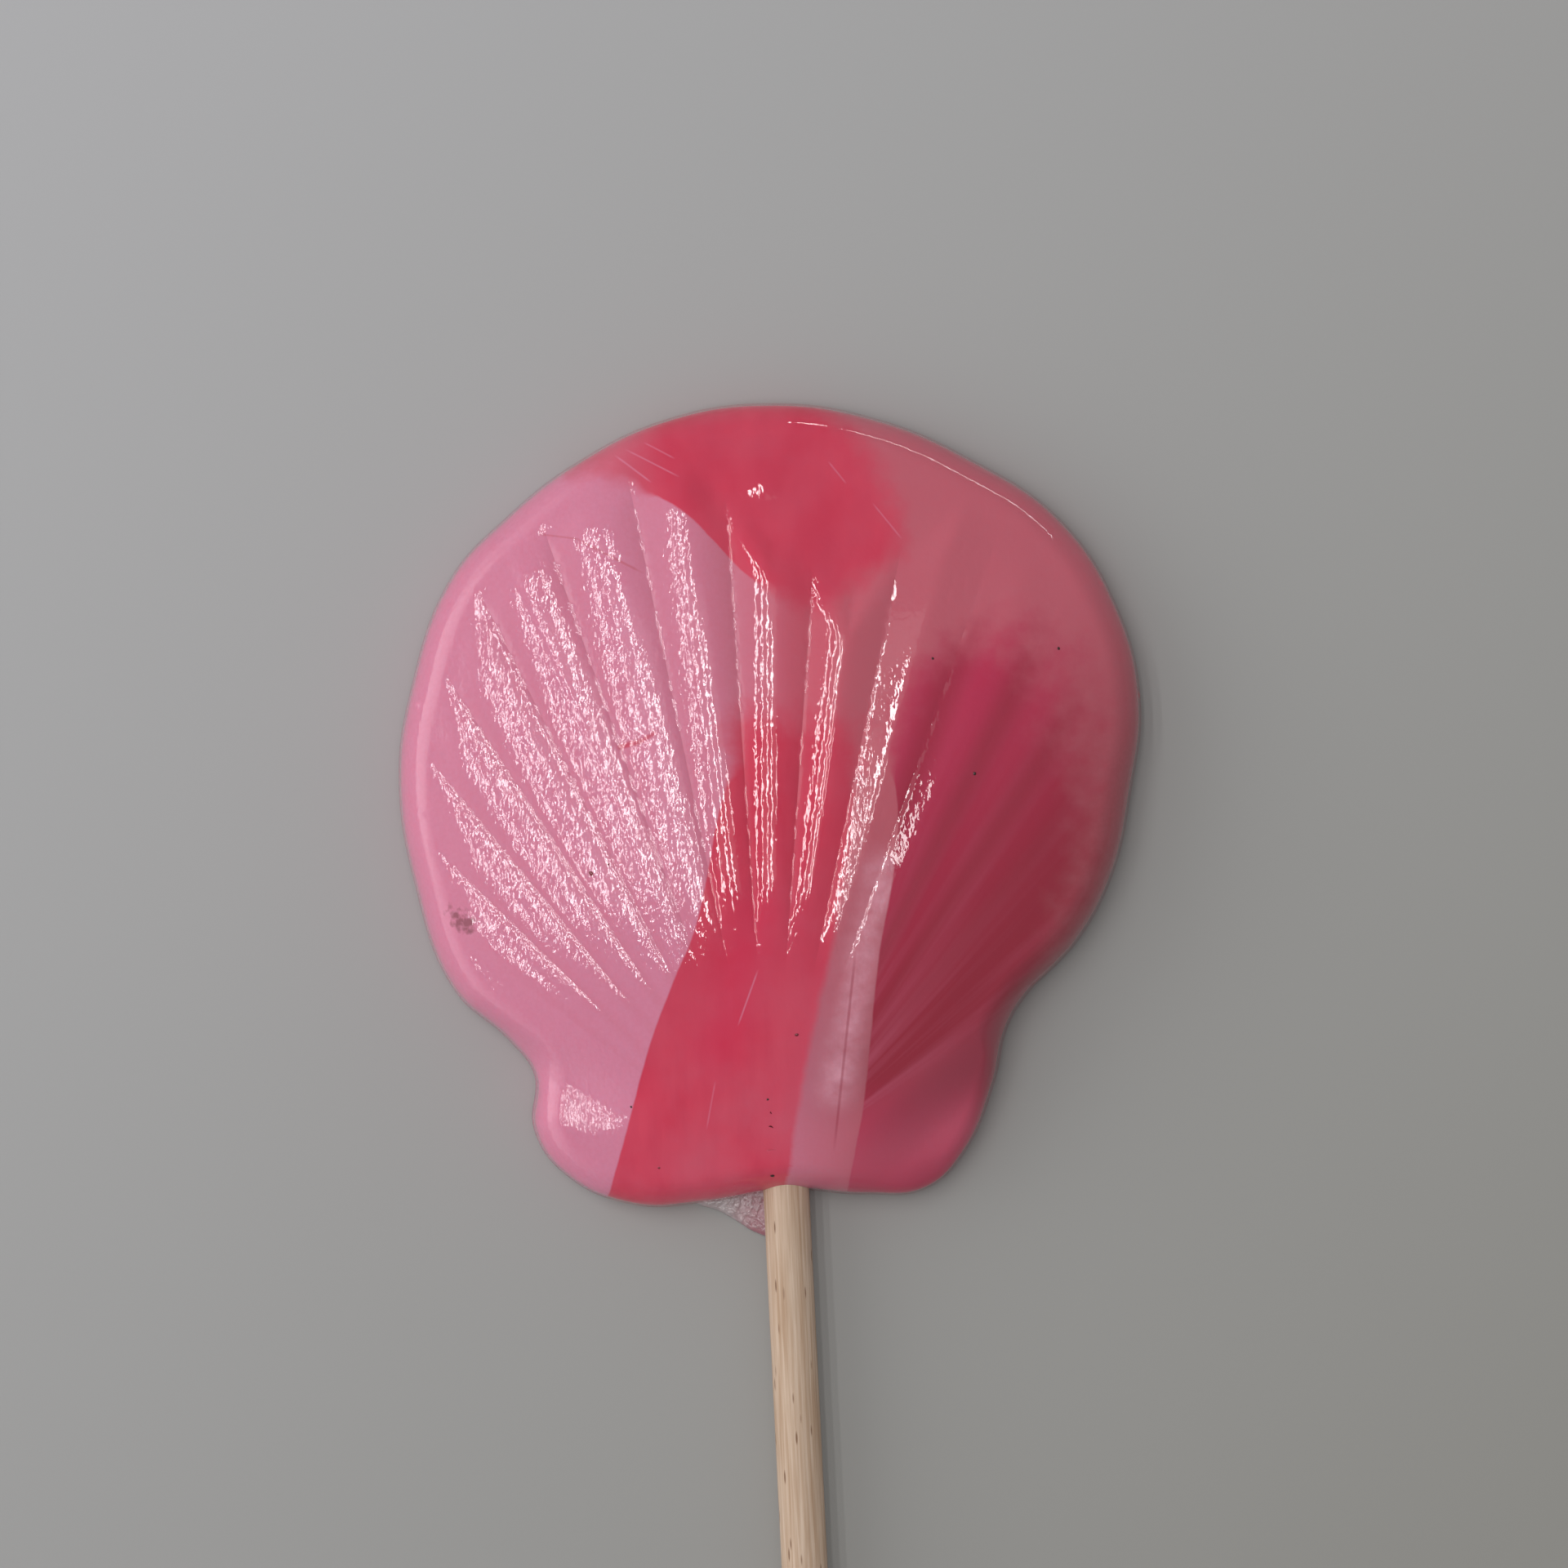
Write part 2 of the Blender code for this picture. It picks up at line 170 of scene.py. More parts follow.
def lay(tree, under, over, mask, strength=1.0):
    """Colour under with colour over laid on it by a mask. A colour is a hex value or an output."""
    if strength != 1.0:
        mask = add(tree, "ShaderNodeMath", (mask, strength), operation="MULTIPLY")
    under, over = (linear(ink) if isinstance(ink, str) else ink for ink in (under, over))
    return add(tree, "ShaderNodeMix", {0: mask, 6: under, 7: over}, output=2, data_type="RGBA")


def pale_floor():
    bpy.ops.mesh.primitive_plane_add(size=FLOOR_SIZE, location=(0.0, 0.0, -FLOOR_DROP))
    floor = bpy.context.object
    floor.name = "floor"
    paper, tree, shader = new_material(
        "matt paper with painted shade", {"Roughness": 0.9, "Specular IOR Level": 0.1}
    )
    place = add(tree, "ShaderNodeTexCoord", output="Object")
    ways = add(tree, "ShaderNodeSeparateXYZ", (place,)).node.outputs
    across = add(tree, "ShaderNodeMath", (ways["X"], ways["Y"]), operation="SUBTRACT")
    share = add(tree, "ShaderNodeMapRange", (across, *FLOOR_SHADE_FADE))
    # Painted shade: the paper is darker towards the lower right.
    tree.links.new(lay(tree, FLOOR_LIGHT, FLOOR_DARK, share), shader.inputs["Base Color"])
    floor.data.materials.append(paper)
    return floor


floor = pale_floor()
print("floor at z, mm:", round(floor.location.z / MM, 3))

# %% [markdown]
# ## Light
#
# Sugar is glossy, so its lights matter as shapes and not only as brightness. A faint soft box
# and a brighter one low on the left model the dome. Five narrow bars stand almost behind the
# camera, like the light between the bars of a window: each bar is mirrored where the face is
# tilted half as far as the bar stands to the side, so it draws one thin line on the flank of
# each rib that has that tilt. Two lamps near the horizon draw the upper rim: a long one its
# thin line, and a small one a brighter dash in it.

# %% Lamps
AIM = Vector((0.0, 0.0, 0.008))
BAR_WIDTH, BAR_DISTANCE = 0.026, 0.95
# Each bar: degrees to the right, lowest and highest degrees up, radiance.
WINDOW_BARS = [(-25.0, -13.0, 26.0, 14.0), (-17.5, -11.0, 26.0, 16.0), (-8.0, -12.5, 25.0, 18.0)]
WINDOW_BARS += [(-0.8, -10.5, 14.0, 19.0), (8.5, -3.5, 4.0, 12.0)]


def bar_length(lowest, highest):
    return BAR_DISTANCE * (tan(radians(highest)) - tan(radians(lowest)))


# Each lamp: name, degrees to the right and up, distance, width, height, radiance.
LAMPS = [("window", -5.0, 5.0, 1.0, 0.44, 0.50, 0.5), ("side", -67.0, 30.0, 0.55, 0.50, 0.40, 0.7)]
LAMPS += [
    (f"window_bar_{right:.0f}", right, (low + high) / 2.0)
    + (BAR_DISTANCE, BAR_WIDTH, bar_length(low, high), radiance)
    for right, low, high, radiance in WINDOW_BARS
]
LAMPS += [("rim_strip", 71.0, 79.0, 0.9, 0.55, 0.03, 9.0)]
LAMPS += [("rim_spark", 28.0, 79.0, 0.9, 0.09, 0.03, 16.0)]


def lamp(name, tilt_right, tilt_up, distance, width, height, radiance):
    """A flat light that faces the shell, tilted from straight above by two angles in degrees.

    Its watts follow from the radiance, which is how bright its mirror image looks.
    """
    light = bpy.data.lights.new(name, "AREA")
    light.shape = "RECTANGLE"
    light.size, light.size_y = width, height
    light.energy = radiance * pi * width * height
    holder = placed(name, light)
    towards = Vector((tan(radians(tilt_right)), tan(radians(tilt_up)), 1.0)).normalized()
    holder.location = AIM + towards * distance
    right = (Vector((1.0, 0.0, 0.0)) - towards * towards.x).normalized()
    axes = Matrix((right, towards.cross(right), towards)).transposed()
    holder.rotation_euler = axes.to_euler()
    holder.visible_camera = False


for row in LAMPS:
    lamp(*row)
print("lamps:", [row[0] for row in LAMPS])

# %% Room
ROOM_LEFT, ROOM_RIGHT = 1.5, 0.34  # brightness
ROOM_FADE = (-1.0, -0.35)  # from one to the other, as x of the direction looked in
ROOM_TINT = "#f2f4f6"


def soft_room():
    """A room that is bright to the left and dim to the right, with no edge to mirror."""
    world = bpy.data.worlds.new("soft room")
    world.use_nodes = True
    tree = world.node_tree
    toward = add(tree, "ShaderNodeTexCoord", output="Generated")
    toward = add(tree, "ShaderNodeSeparateXYZ", (toward,), output="X")
    side = add(
        tree,
        "ShaderNodeMapRange",
        (toward, *ROOM_FADE, ROOM_LEFT, ROOM_RIGHT),
        interpolation_type="SMOOTHSTEP",
    )
    tree.nodes["Background"].inputs["Color"].default_value = linear(ROOM_TINT)
    tree.links.new(side, tree.nodes["Background"].inputs["Strength"])
    return world


bpy.context.scene.world = soft_room()
print("room:", bpy.context.scene.world.name)

# %% [markdown]
# ## The rim of the shell
#
# The outline is a free shape, a slightly lopsided disc with two small ears, so it is drawn
# through the fewest points that hold it and smoothed. They are the same real sizes that the
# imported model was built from.

# %% Outline of the shell on its flat back, anticlockwise from the top
RIM_TOP_LEFT = [(0, 32.6), (-9.1, 31.2), (-17.3, 27.2), (-23.0, 22.7), (-27.9, 17.4)]
RIM_LEFT = [(-31.5, 7.4), (-32.5, -0.1), (-31.1, -9.5), (-27.6, -18.8), (-22.7, -23.3)]
RIM_LEFT_EAR = [(-20.7, -26.0), (-20.7, -30.8), (-18.1, -34.7), (-11.9, -37.5), (-5.7, -37.3)]
RIM_HINGE = [(1.4, -36.2)]
RIM_RIGHT_EAR = [(8.4, -36.6), (13.6, -36.1), (17.0, -32.9), (19.6, -26.9), (20.8, -21.9)]
RIM_RIGHT = [(22.4, -19.2), (26.7, -14.7), (29.9, -8.8), (31.6, -1.2), (32.4, 6.5)]
RIM_TOP_RIGHT = [(30.4, 14.7), (25.3, 22.5), (17.6, 27.7), (9.1, 31.3)]

rim_line = smooth_outline(
    RIM_TOP_LEFT + RIM_LEFT + RIM_LEFT_EAR + RIM_HINGE + RIM_RIGHT_EAR + RIM_RIGHT + RIM_TOP_RIGHT
)
print("rim: %d points, %.1f mm wide" % (len(rim_line), np.ptp(rim_line[:, 0]) / MM))

# %% [markdown]
# ## The relief of the face
#
# A sculpted or displaced grid would do, but a scallop follows a simple rule, so its height is
# written as a sum: a shallow dome, ribs that fan out from the hinge, a valley that sets off
# each ear, and a rounded shoulder along the rim. Each rib has a round crest whose flanks run
# straight down at a set slope, and where two of them meet they leave a narrow groove. Crests
# are broad and sharp-edged on the left, where the mould filled well, and fade to low swells on
# the right.

# %% Sizes of the relief
WALL_HEIGHT = 3.2 * MM
WALL_DRAFT = 0.35 * MM
FOOT_CHAMFER = 0.3 * MM
SHOULDER = 2.6 * MM
MARGIN_HEIGHT = 6.6 * MM
DOME_RISE = 4.4 * MM
DOME_RADIUS = 34.0 * MM
DOME_CENTRE = np.array([0.0, -3.0 * MM])

FAN_POINT = np.array([0.14 * MM, -34.3 * MM])
RIB_BEARINGS = np.array([0.0, 7.8, 15.6, 23.4, 30.0, 36.4, 42.8, 49.2])  # wide in the middle
CRESTS = np.concatenate([-RIB_BEARINGS[:0:-1], RIB_BEARINGS])
LAST_RIB = len(RIB_BEARINGS) - 0.5
CREST_BEARINGS = (-28.0, -18.0, -9.0, -3.9, 0.0, 8.0, 11.6, 11.8, 19.4, 19.6, 26.5, 29.0)  # degrees
CREST_RADII = (20.0, 17.0, 7.5, 5.2, 5.0, 3.4, 3.4, 3.5, 3.5, 2.5, 2.5, 18.0)  # mm, flat at left
FLANK_SLOPES = (0.25, 0.25, 0.25, 0.31, 0.31, 0.34, 0.30, 0.12, 0.12, 0.055, 0.055, 0.015)
TOP_RIGHT_SLOPE = (0.03, 6.0, 16.0)  # more towards the upper right, from y to y in mm
TOP_RIGHT_BEARINGS = (19.0, 27.0)
SOFT_BEARINGS, GROOVE_SOFTNESS = (8.0, 20.0), (0.0, 0.10)  # mm: grooves melt away to the right
EDGE_WIDTH = 0.50 * MM  # the crests turn down to the groove over this width
EDGE_RADIUS = 2.8 * MM
EDGE_FADE = (0.8, 16.0, 26.0)  # less of this edge to the right, from bearing to bearing
RIB_START_LEFT = (17.0 * MM, 25.0 * MM)
RIB_START_RIGHT = (12.0 * MM, 22.0 * MM)  # from the hinge: where ribs rise, and are whole
END_BEARINGS = (-16.0, -7.0, 0.0, 8.0, 16.0)
ENDS_LOW = (2.4, 4.0, 12.0, 15.0, 3.0)  # mm from the rim, where the ribs have died away
ENDS_HIGH = (6.0, 8.5, 16.0, 19.5, 8.0)  # mm from the rim, where they are whole

LEFT_VALLEY = ((-21.4 * MM, -24.6 * MM), (-9.5 * MM, -30.5 * MM), 1.3 * MM, 2.3 * MM)
RIGHT_STEP = ((21.3 * MM, -21.3 * MM), (6.5 * MM, -35.0 * MM), 1.7 * MM, 2.6 * MM)
print("ribs:", len(CRESTS), "of slopes", max(FLANK_SLOPES), "to", min(FLANK_SLOPES))


# %% Dome, valley, step and ribs
def distance_to_rim(points):
    """Distance of each point to the nearest point of the rim, a block of points at a time."""
    nearest = []
    for block in np.array_split(points, max(1, len(points) // 4000)):
        away = np.linalg.norm(block[:, None, :] - rim_line[None, :, :], axis=2)
        nearest.append(np.min(away, axis=1))
    return np.concatenate(nearest)


def fan_bearing(points):
    """Degrees from the shell's axis, seen from where the lines of the ribs meet."""
    return np.degrees(np.arctan2(points[:, 0] - FAN_POINT[0], points[:, 1] - FAN_POINT[1]))


def valley(points, start, end, depth, half_width):
    start, run = np.array(start), np.array(end) - np.array(start)
    share = np.clip((points - start) @ run / (run @ run), 0.0, 1.0)
    aside = np.linalg.norm(points - start - share[:, None] * run, axis=1)
    return depth * (1.0 - ramp(0.2, 1.0, share)) * np.exp(-((aside / half_width) ** 2))


def step_down(points, start, end, depth, half_width):
    """A soft step to the lower ear, on the left of the way from start to end."""
    start, run = np.array(start), np.array(end) - np.array(start)
    length = np.linalg.norm(run)
    across = ((points - start) @ np.array([-run[1], run[0]])) / length
    along = ((points - start) @ run) / length**2
    return depth * ramp(-half_width, half_width, across) * (1.0 - ramp(0.55, 1.1, along))


def rib_count(bearing):
    """Ribs from the middle one, as a number that is whole on a crest."""
    steps = np.arange(len(RIB_BEARINGS) + 1)
    marks = np.append(RIB_BEARINGS, 2 * RIB_BEARINGS[-1] - RIB_BEARINGS[-2])
    return np.sign(bearing) * np.interp(np.abs(bearing), marks, steps)


def ribs(points, inside):
    """Height of the face over the grooves: round crests with flanks that straighten out."""
    reach = np.linalg.norm(points - FAN_POINT, axis=1)
    bearing = fan_bearing(points)
    slope = np.interp(bearing, CREST_BEARINGS, FLANK_SLOPES)
    more, low, high = TOP_RIGHT_SLOPE
    slope += more * ramp(low, high, points[:, 1] / MM) * ramp(*TOP_RIGHT_BEARINGS, bearing)
    radius = np.interp(bearing, CREST_BEARINGS, CREST_RADII) * MM

    def fall(aside):
        """Depth below a crest at this distance from it."""
        return radius * slope**2 * np.log(np.cosh(aside / (radius * slope)))

    near, next_one = np.sort(np.abs(bearing[:, None] - CRESTS), axis=1)[:, :2].T * np.radians(reach)
    half_rib = (near + next_one) / 2.0
    below, beside = fall(near), fall(next_one)
    soft = np.interp(bearing, SOFT_BEARINGS, GROOVE_SOFTNESS) * MM
    height = fall(half_rib) - (below + beside) / 2.0
    height += np.sqrt(((beside - below) / 2.0) ** 2 + soft**2)
    edge = np.maximum(0.0, EDGE_WIDTH - (next_one - near) / 2.0)
    less, first, last = EDGE_FADE
    height -= edge**2 / (2.0 * EDGE_RADIUS) * (1.0 - less * ramp(first, last, bearing))
    start, full = [
        left + (right - left) * ramp(8.0, 28.0, bearing)
        for left, right in zip(RIB_START_LEFT, RIB_START_RIGHT)
    ]
    appear = ramp(0.0, 1.0, (reach - start) / (full - start))
    over_fan = 1.0 - ramp(LAST_RIB - 0.3, LAST_RIB + 0.3, np.abs(rib_count(bearing)))
    low, high = (np.interp(bearing, END_BEARINGS, ends) * MM for ends in (ENDS_LOW, ENDS_HIGH))
    return height * appear * ramp(0.0, 1.0, (inside - low) / (high - low)) * over_fan


def crown(points):
    """Thickness of the shell, leaving out its rounded shoulder."""
    radius = np.linalg.norm(points - DOME_CENTRE, axis=1) / DOME_RADIUS
    height = MARGIN_HEIGHT + DOME_RISE * (1.0 - np.minimum(radius, 1.2) ** 2)
    height -= valley(points, *LEFT_VALLEY) + step_down(points, *RIGHT_STEP)
    return height + ribs(points, distance_to_rim(points))


probe = np.array([[0.0, 0.0], [0.0, 25 * MM], [-20 * MM, 0.0]])
print("thickness at the middle, top and left, mm:", np.round(crown(probe) / MM, 2))

# %% [markdown]
# ## The cast shell
#
# The surface needs long, even rows of faces along every rib, or the highlights break up. A
# globe has just that layout: its meridians become spokes that follow the ribs, and its
# parallels become rings that shrink from the rim to the hinge. So a UV sphere is made and each
# of its points is sent to its place on the shell. The ribs all meet at one point, where the
# spokes would crowd, so inside a small knee they turn to a pole of their own. The stick needs
# no bore here: the sugar closes round it.

# %% Spokes
SPOKES_PER_RIB = 26
SPOKES_ROUND_HINGE = 160
CROWN_RINGS = 112
SHOULDER_RINGS = 14
MESH_POLE = np.array([0.0, -28.0 * MM])
KNEE_REACH = 11.0 * MM  # the spokes follow the ribs down to here, and then turn to the pole
KNEE_SHARE = 0.18  # of the rings lie inside the knee
EAR_EDGE = (1.5 * MM, -23.5 * MM, -34.5 * MM)  # shoulder on the right ear's side, from y to y
FAN_REACH = 20.0 * MM  # rim points nearer to the fan's point than this are below the ribs


def inward_from(line):
    ahead = np.roll(line, -1, axis=0) - np.roll(line, 1, axis=0)
    ahead /= np.linalg.norm(ahead, axis=1, keepdims=True)
    return np.column_stack([-ahead[:, 1], ahead[:, 0]])


def shoulder_width(rim):
    """The shoulder is broad and round, but crisp along the right ear's side."""
    narrow, upper, lower = EAR_EDGE
    y = rim[:, 1]
    on_side = ramp(lower - MM, lower + MM, y) * (1.0 - ramp(upper - MM, upper + MM, y))
    return SHOULDER + (narrow - SHOULDER) * on_side * (rim[:, 0] > 0.0)


def crown_edge(rim, inward):
    """Where the rounded shoulder ends and the face begins."""
    return rim + inward * (WALL_DRAFT + shoulder_width(rim))[:, None]


def rim_stations():
    """Rim points and inward normals: an equal share for each rib, then round the hinge."""
    closed = np.vstack([rim_line, rim_line[:1]])
    along = np.concatenate([[0.0], np.cumsum(np.linalg.norm(np.diff(closed, axis=0), axis=1))])
    turn = along[-1]
    steps = np.linspace(LAST_RIB, -LAST_RIB, len(CRESTS) * SPOKES_PER_RIB + 1)
    marks = np.linspace(-60.0, 60.0, 1201)
    bearings = np.interp(steps, rib_count(marks), marks)
    doubled = np.concatenate([along[:-1] - turn, along[:-1]])
    edge = crown_edge(rim_line, inward_from(rim_line))
    seen = np.tile(fan_bearing(edge), 2)
    reach = np.tile(np.linalg.norm(edge - FAN_POINT, axis=1), 2)
    upper = (np.abs(seen) < bearings[0] + 6.0) & (np.abs(doubled) < turn / 2.0)
    upper &= reach > FAN_REACH
    fan = np.interp(-bearings, -seen[upper], doubled[upper])
    hinge = np.linspace(fan[-1], fan[0] + turn, SPOKES_ROUND_HINGE + 1)[1:-1]
    stations = np.concatenate([fan, hinge]) % turn

    def at(distance):
        return np.column_stack(
            [np.interp(distance % turn, along, closed[:, axis]) for axis in (0, 1)]
        )

    ahead = at(stations + MM) - at(stations - MM)
    ahead /= np.linalg.norm(ahead, axis=1, keepdims=True)
    return at(stations), np.column_stack([-ahead[:, 1], ahead[:, 0]])


print("spokes:", len(rim_stations()[0]))


# %% Rings, from the pole over the rim to the flat back
def hinge_knees(edge, knee, hinge):
    """Knees for the spokes below the fan, in an even turn round the pole from fan to fan."""
    ends = [hinge.start - 1, 0]
    out, inner = edge[hinge] - MESH_POLE, knee[ends] - MESH_POLE
    fan_turns = [np.arctan2(-way[:, 0], way[:, 1]) % tau for way in (edge[ends] - MESH_POLE, inner)]
    turn = np.arctan2(-out[:, 0], out[:, 1]) % tau
    angle = np.interp(turn, *fan_turns)
    far = np.linalg.norm(inner, axis=1)
    radius = np.interp(turn, (fan_turns[0][0], pi, fan_turns[0][1]), (far[0], MM, far[1]))
    return MESH_POLE + radius[:, None] * np.column_stack([-np.sin(angle), np.cos(angle)])


def shell_rings():
    rim, inward = rim_stations()
    shoulder = shoulder_width(rim)[:, None]
    pole = np.tile(MESH_POLE, (len(rim), 1))
    edge = crown_edge(rim, inward)
    reach = np.linalg.norm(edge - FAN_POINT, axis=1)[:, None]
    knee = FAN_POINT + (edge - FAN_POINT) * KNEE_REACH / reach
    hinge = slice(len(CRESTS) * SPOKES_PER_RIB + 1, None)
    knee[hinge] = hinge_knees(edge, knee, hinge)
    rings = []
    for share in np.linspace(0.0, 1.0, CROWN_RINGS + 1):
        inner = min(1.0, share / KNEE_SHARE)
        outer = max(0.0, (share - KNEE_SHARE) / (1 - KNEE_SHARE))
        flat = pole + (knee - pole) * inner + (edge - knee) * outer
        rings.append(np.column_stack([flat, crown(flat)]))
    for ring in range(1, SHOULDER_RINGS + 1):
        angle = radians(90.0 * (1.0 - ring / SHOULDER_RINGS))
        flat = rim + inward * (WALL_DRAFT + shoulder * (1.0 - cos(angle)))
        height = WALL_HEIGHT + (crown(flat) - WALL_HEIGHT) * sin(angle)
        rings.append(np.column_stack([flat, height]))
    wall = [(WALL_DRAFT / 2, WALL_HEIGHT / 2), (0.0, FOOT_CHAMFER), (FOOT_CHAMFER, 0.0)]
    for inset, height in wall:
        rings.append(np.column_stack([rim + inward * inset, np.full(len(rim), height)]))
    rings.append(np.column_stack([pole, np.zeros(len(rim))]))
    return np.array(rings)


def folded_faces(rings):
    """Faces of the crown and shoulder that would lie upside down, which should be none."""
    flat = rings[: CROWN_RINGS + SHOULDER_RINGS, :, :2]
    out, across = flat[1:] - flat[:-1], np.roll(flat, -1, axis=1)[:-1] - flat[:-1]
    turned = out[..., 0] * across[..., 1] - out[..., 1] * across[..., 0]
    return int((turned[1:] < 0).sum())


rings = shell_rings()
print("rings:", len(rings), "- folded faces:", folded_faces(rings))


# %% The wrapped globe
def crease_grooves(mesh, ring, spoke):
    """A groove is a sharp fold, so the smooth shading is cut along its row of edges."""
    ends = np.empty(len(mesh.edges) * 2, int)
    mesh.edges.foreach_get("vertices", ends)
    ends = ends.reshape(-1, 2)
    in_groove = (spoke % SPOKES_PER_RIB == 0) & (spoke <= len(CRESTS) * SPOKES_PER_RIB)
    in_groove &= (ring > KNEE_SHARE * CROWN_RINGS) & (ring < CROWN_RINGS)
    sharp = in_groove[ends].all(axis=1) & (spoke[ends[:, 0]] == spoke[ends[:, 1]])
    mesh.attributes.new("sharp_edge", "BOOLEAN", "EDGE").data.foreach_set("value", sharp)


def wrapped_globe(name, rings):
    """A UV sphere whose points are moved to rings[ring][spoke]."""
    last, spokes = len(rings) - 1, len(rings[0])
    bm = bmesh.new()
    bmesh.ops.create_uvsphere(bm, u_segments=spokes, v_segments=last, radius=1.0)
    mesh = bpy.data.meshes.new(name)
    bm.to_mesh(mesh)
    bm.free()
    globe = np.empty(len(mesh.vertices) * 3)
    mesh.vertices.foreach_get("co", globe)
    globe = globe.reshape(-1, 3)
    ring = np.round(np.arccos(np.clip(globe[:, 2], -1, 1)) / pi * last).astype(int)
    spoke = np.round(np.arctan2(globe[:, 1], globe[:, 0]) / tau * spokes).astype(int) % spokes
    mesh.vertices.foreach_set("co", rings[ring, spoke].ravel())
    mesh.shade_smooth()
    crease_grooves(mesh, ring, spoke)
    mesh.update()
    return placed(name, mesh)


shell = wrapped_globe("cast_shell", rings)
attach(shell, "root")
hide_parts("candy_shell")
print("cast shell:", len(shell.data.polygons), "faces")

# %% [markdown]
# ## Uneven setting
#
# Real sugar is never quite true to its mould. Low waves bend the highlights, because it shrinks
# as it sets. Two small swellings catch the light past the end of the middle rib, a fold crosses
# the upper left, and a nick the left side. A displacement texture could carry the waves, but
# moved points show in the shape and stay in the mesh itself.

# %% Waves, swellings and folds
WAVE_SCALE = 1.0 / (2.4 * MM)
WAVE_HEIGHT = 0.008 * MM
SWELL_SCALE = 1.0 / (11.0 * MM)
SWELL_HEIGHT = 0.07 * MM
SWELLINGS = [(-0.1, 25.3, 1.5, 0.13), (-0.2, 21.2, 0.8, 0.06)]  # x, y, radius, height in mm
# Each fold: from, to, half width and depth in mm. The first two are one fold, the others a nick.
FOLDS = [((-20.0, 20.9), (-16.6, 20.3), 0.22, 0.05), ((-16.6, 20.3), (-11.0, 17.6), 0.22, 0.06)]
FOLDS += [((-13.1, 2.5), (-11.2, 2.9), 0.22, 0.10), ((-11.2, 2.9), (-9.8, 3.6), 0.22, 0.08)]


def coordinates(obj):
    values = np.empty(len(obj.data.vertices) * 3)
    obj.data.vertices.foreach_get("co", values)
    return values.reshape(-1, 3)


def segment_distance(points, start, end):
    start, run = np.array(start) * MM, (np.array(end) - np.array(start)) * MM
    share = np.clip((points - start) @ run / (run @ run), 0.0, 1.0)
    return np.linalg.norm(points - start - share[:, None] * run, axis=1)


def settle(obj):
    points = coordinates(obj)
    face = ramp(WALL_HEIGHT, MARGIN_HEIGHT, points[:, 2])
    waves = np.array([noise.noise(Vector(p) * WAVE_SCALE) for p in points])
    swell = np.array([noise.noise(Vector(p) * SWELL_SCALE) for p in points])
    lift = WAVE_HEIGHT * waves + SWELL_HEIGHT * swell
    for x, y, radius, height in SWELLINGS:
        away = np.linalg.norm(points[:, :2] - np.array([x, y]) * MM, axis=1) / (radius * MM)
        lift += height * MM * np.exp(-(away**2))
    for start, end, half_width, depth in FOLDS:
        away = segment_distance(points[:, :2], start, end) / (half_width * MM)
        lift -= depth * MM * np.exp(-(away**2))
    points[:, 2] += lift * face
    obj.data.vertices.foreach_set("co", points.ravel())
    obj.data.update()
    return lift * face


lift = settle(shell)
print("uneven setting, mm: from %.3f to %.3f" % (lift.min() / MM, lift.max() / MM))

# %% [markdown]
# ## Where the colours lie
#
# The clear red and the opaque pink were poured together, so each colour is a field with its
# own edge: knife-sharp where the streams slid past each other, and soft where they mixed. An
# image would hold that, but a signed distance does it in any resolution: each point stores how
# far it is from a field's outline, divided by how soft the edge is there. The shader turns
# that number into a mask. The cap is clear red, the stream is the red that runs down to the
# stick, and the magenta fills the lower right. What is left is the opaque pink.

# %% Outlines of the colour fields, in millimetres
CAP = [(-17.6, 26.2), (-14.6, 25.9), (-11.2, 24.7), (-7.9, 23.1), (-5.0, 20.4), (-2.1, 17.4)]
CAP += [(1.6, 15.1), (4.0, 14.6), (8.2, 16.9), (10.8, 19.0), (10.9, 22.6), (8.4, 27.9)]
CAP += [(5.7, 31.0), (3.0, 36.0), (-12.0, 36.0), (-24.0, 31.0)]
STREAM = [(-2.9, 4.6), (-3.2, 1.0), (-4.4, -3.2), (-5.4, -8.6), (-6.4, -13.0), (-8.4, -17.9)]
STREAM += [(-10.3, -23.0), (-12.1, -29.6), (-13.7, -35.4), (-15.0, -41.0), (0.2, -41.0)]
STREAM += [(1.4, -35.2), (2.4, -28.8), (3.8, -21.6), (5.3, -14.6), (6.5, -8.0), (7.0, -2.0)]
STREAM += [(6.8, 3.6), (2.0, 4.9)]
MAGENTA_FIELD = [(10.4, 3.4), (11.0, -3.1), (10.6, -8.4), (9.5, -14.6), (8.7, -22.0), (8.0, -28.8)]
MAGENTA_FIELD += [(6.7, -36.0), (6.0, -42.0), (24.0, -42.0), (26.0, -24.0), (24.0, -17.0)]
MAGENTA_FIELD += [(25.8, -10.4), (27.2, -4.0), (26.4, 2.8), (25.0, 8.4), (21.6, 11.2), (17.6, 11.4)]
MAGENTA_FIELD += [(13.6, 9.8), (11.4, 6.8)]

print("outline points:", len(CAP) + len(STREAM) + len(MAGENTA_FIELD))


# %% Distance fields, stored on the points
def signed_distance(points, outline):
    """Distance to a closed outline, positive inside it."""
    nearest = np.full(len(points), np.inf)
    inside = np.zeros(len(points), bool)
    for start, end in zip(outline, np.roll(outline, -1, axis=0)):
        run = end - start
        away = points - start
        share = np.clip(away @ run / max(run @ run, 1e-18), 0.0, 1.0)
        nearest = np.minimum(nearest, np.sum((away - share[:, None] * run) ** 2, axis=1))
        crosses = (start[1] > points[:, 1]) != (end[1] > points[:, 1])
        if run[1] != 0.0:
            inside ^= crosses & (away[:, 0] < run[0] * away[:, 1] / run[1])
    return np.where(inside, 1.0, -1.0) * np.sqrt(nearest)


def store(mesh, name, values):
    mesh.attributes.new(name, "FLOAT", "POINT").data.foreach_set("value", values.astype(np.float32))


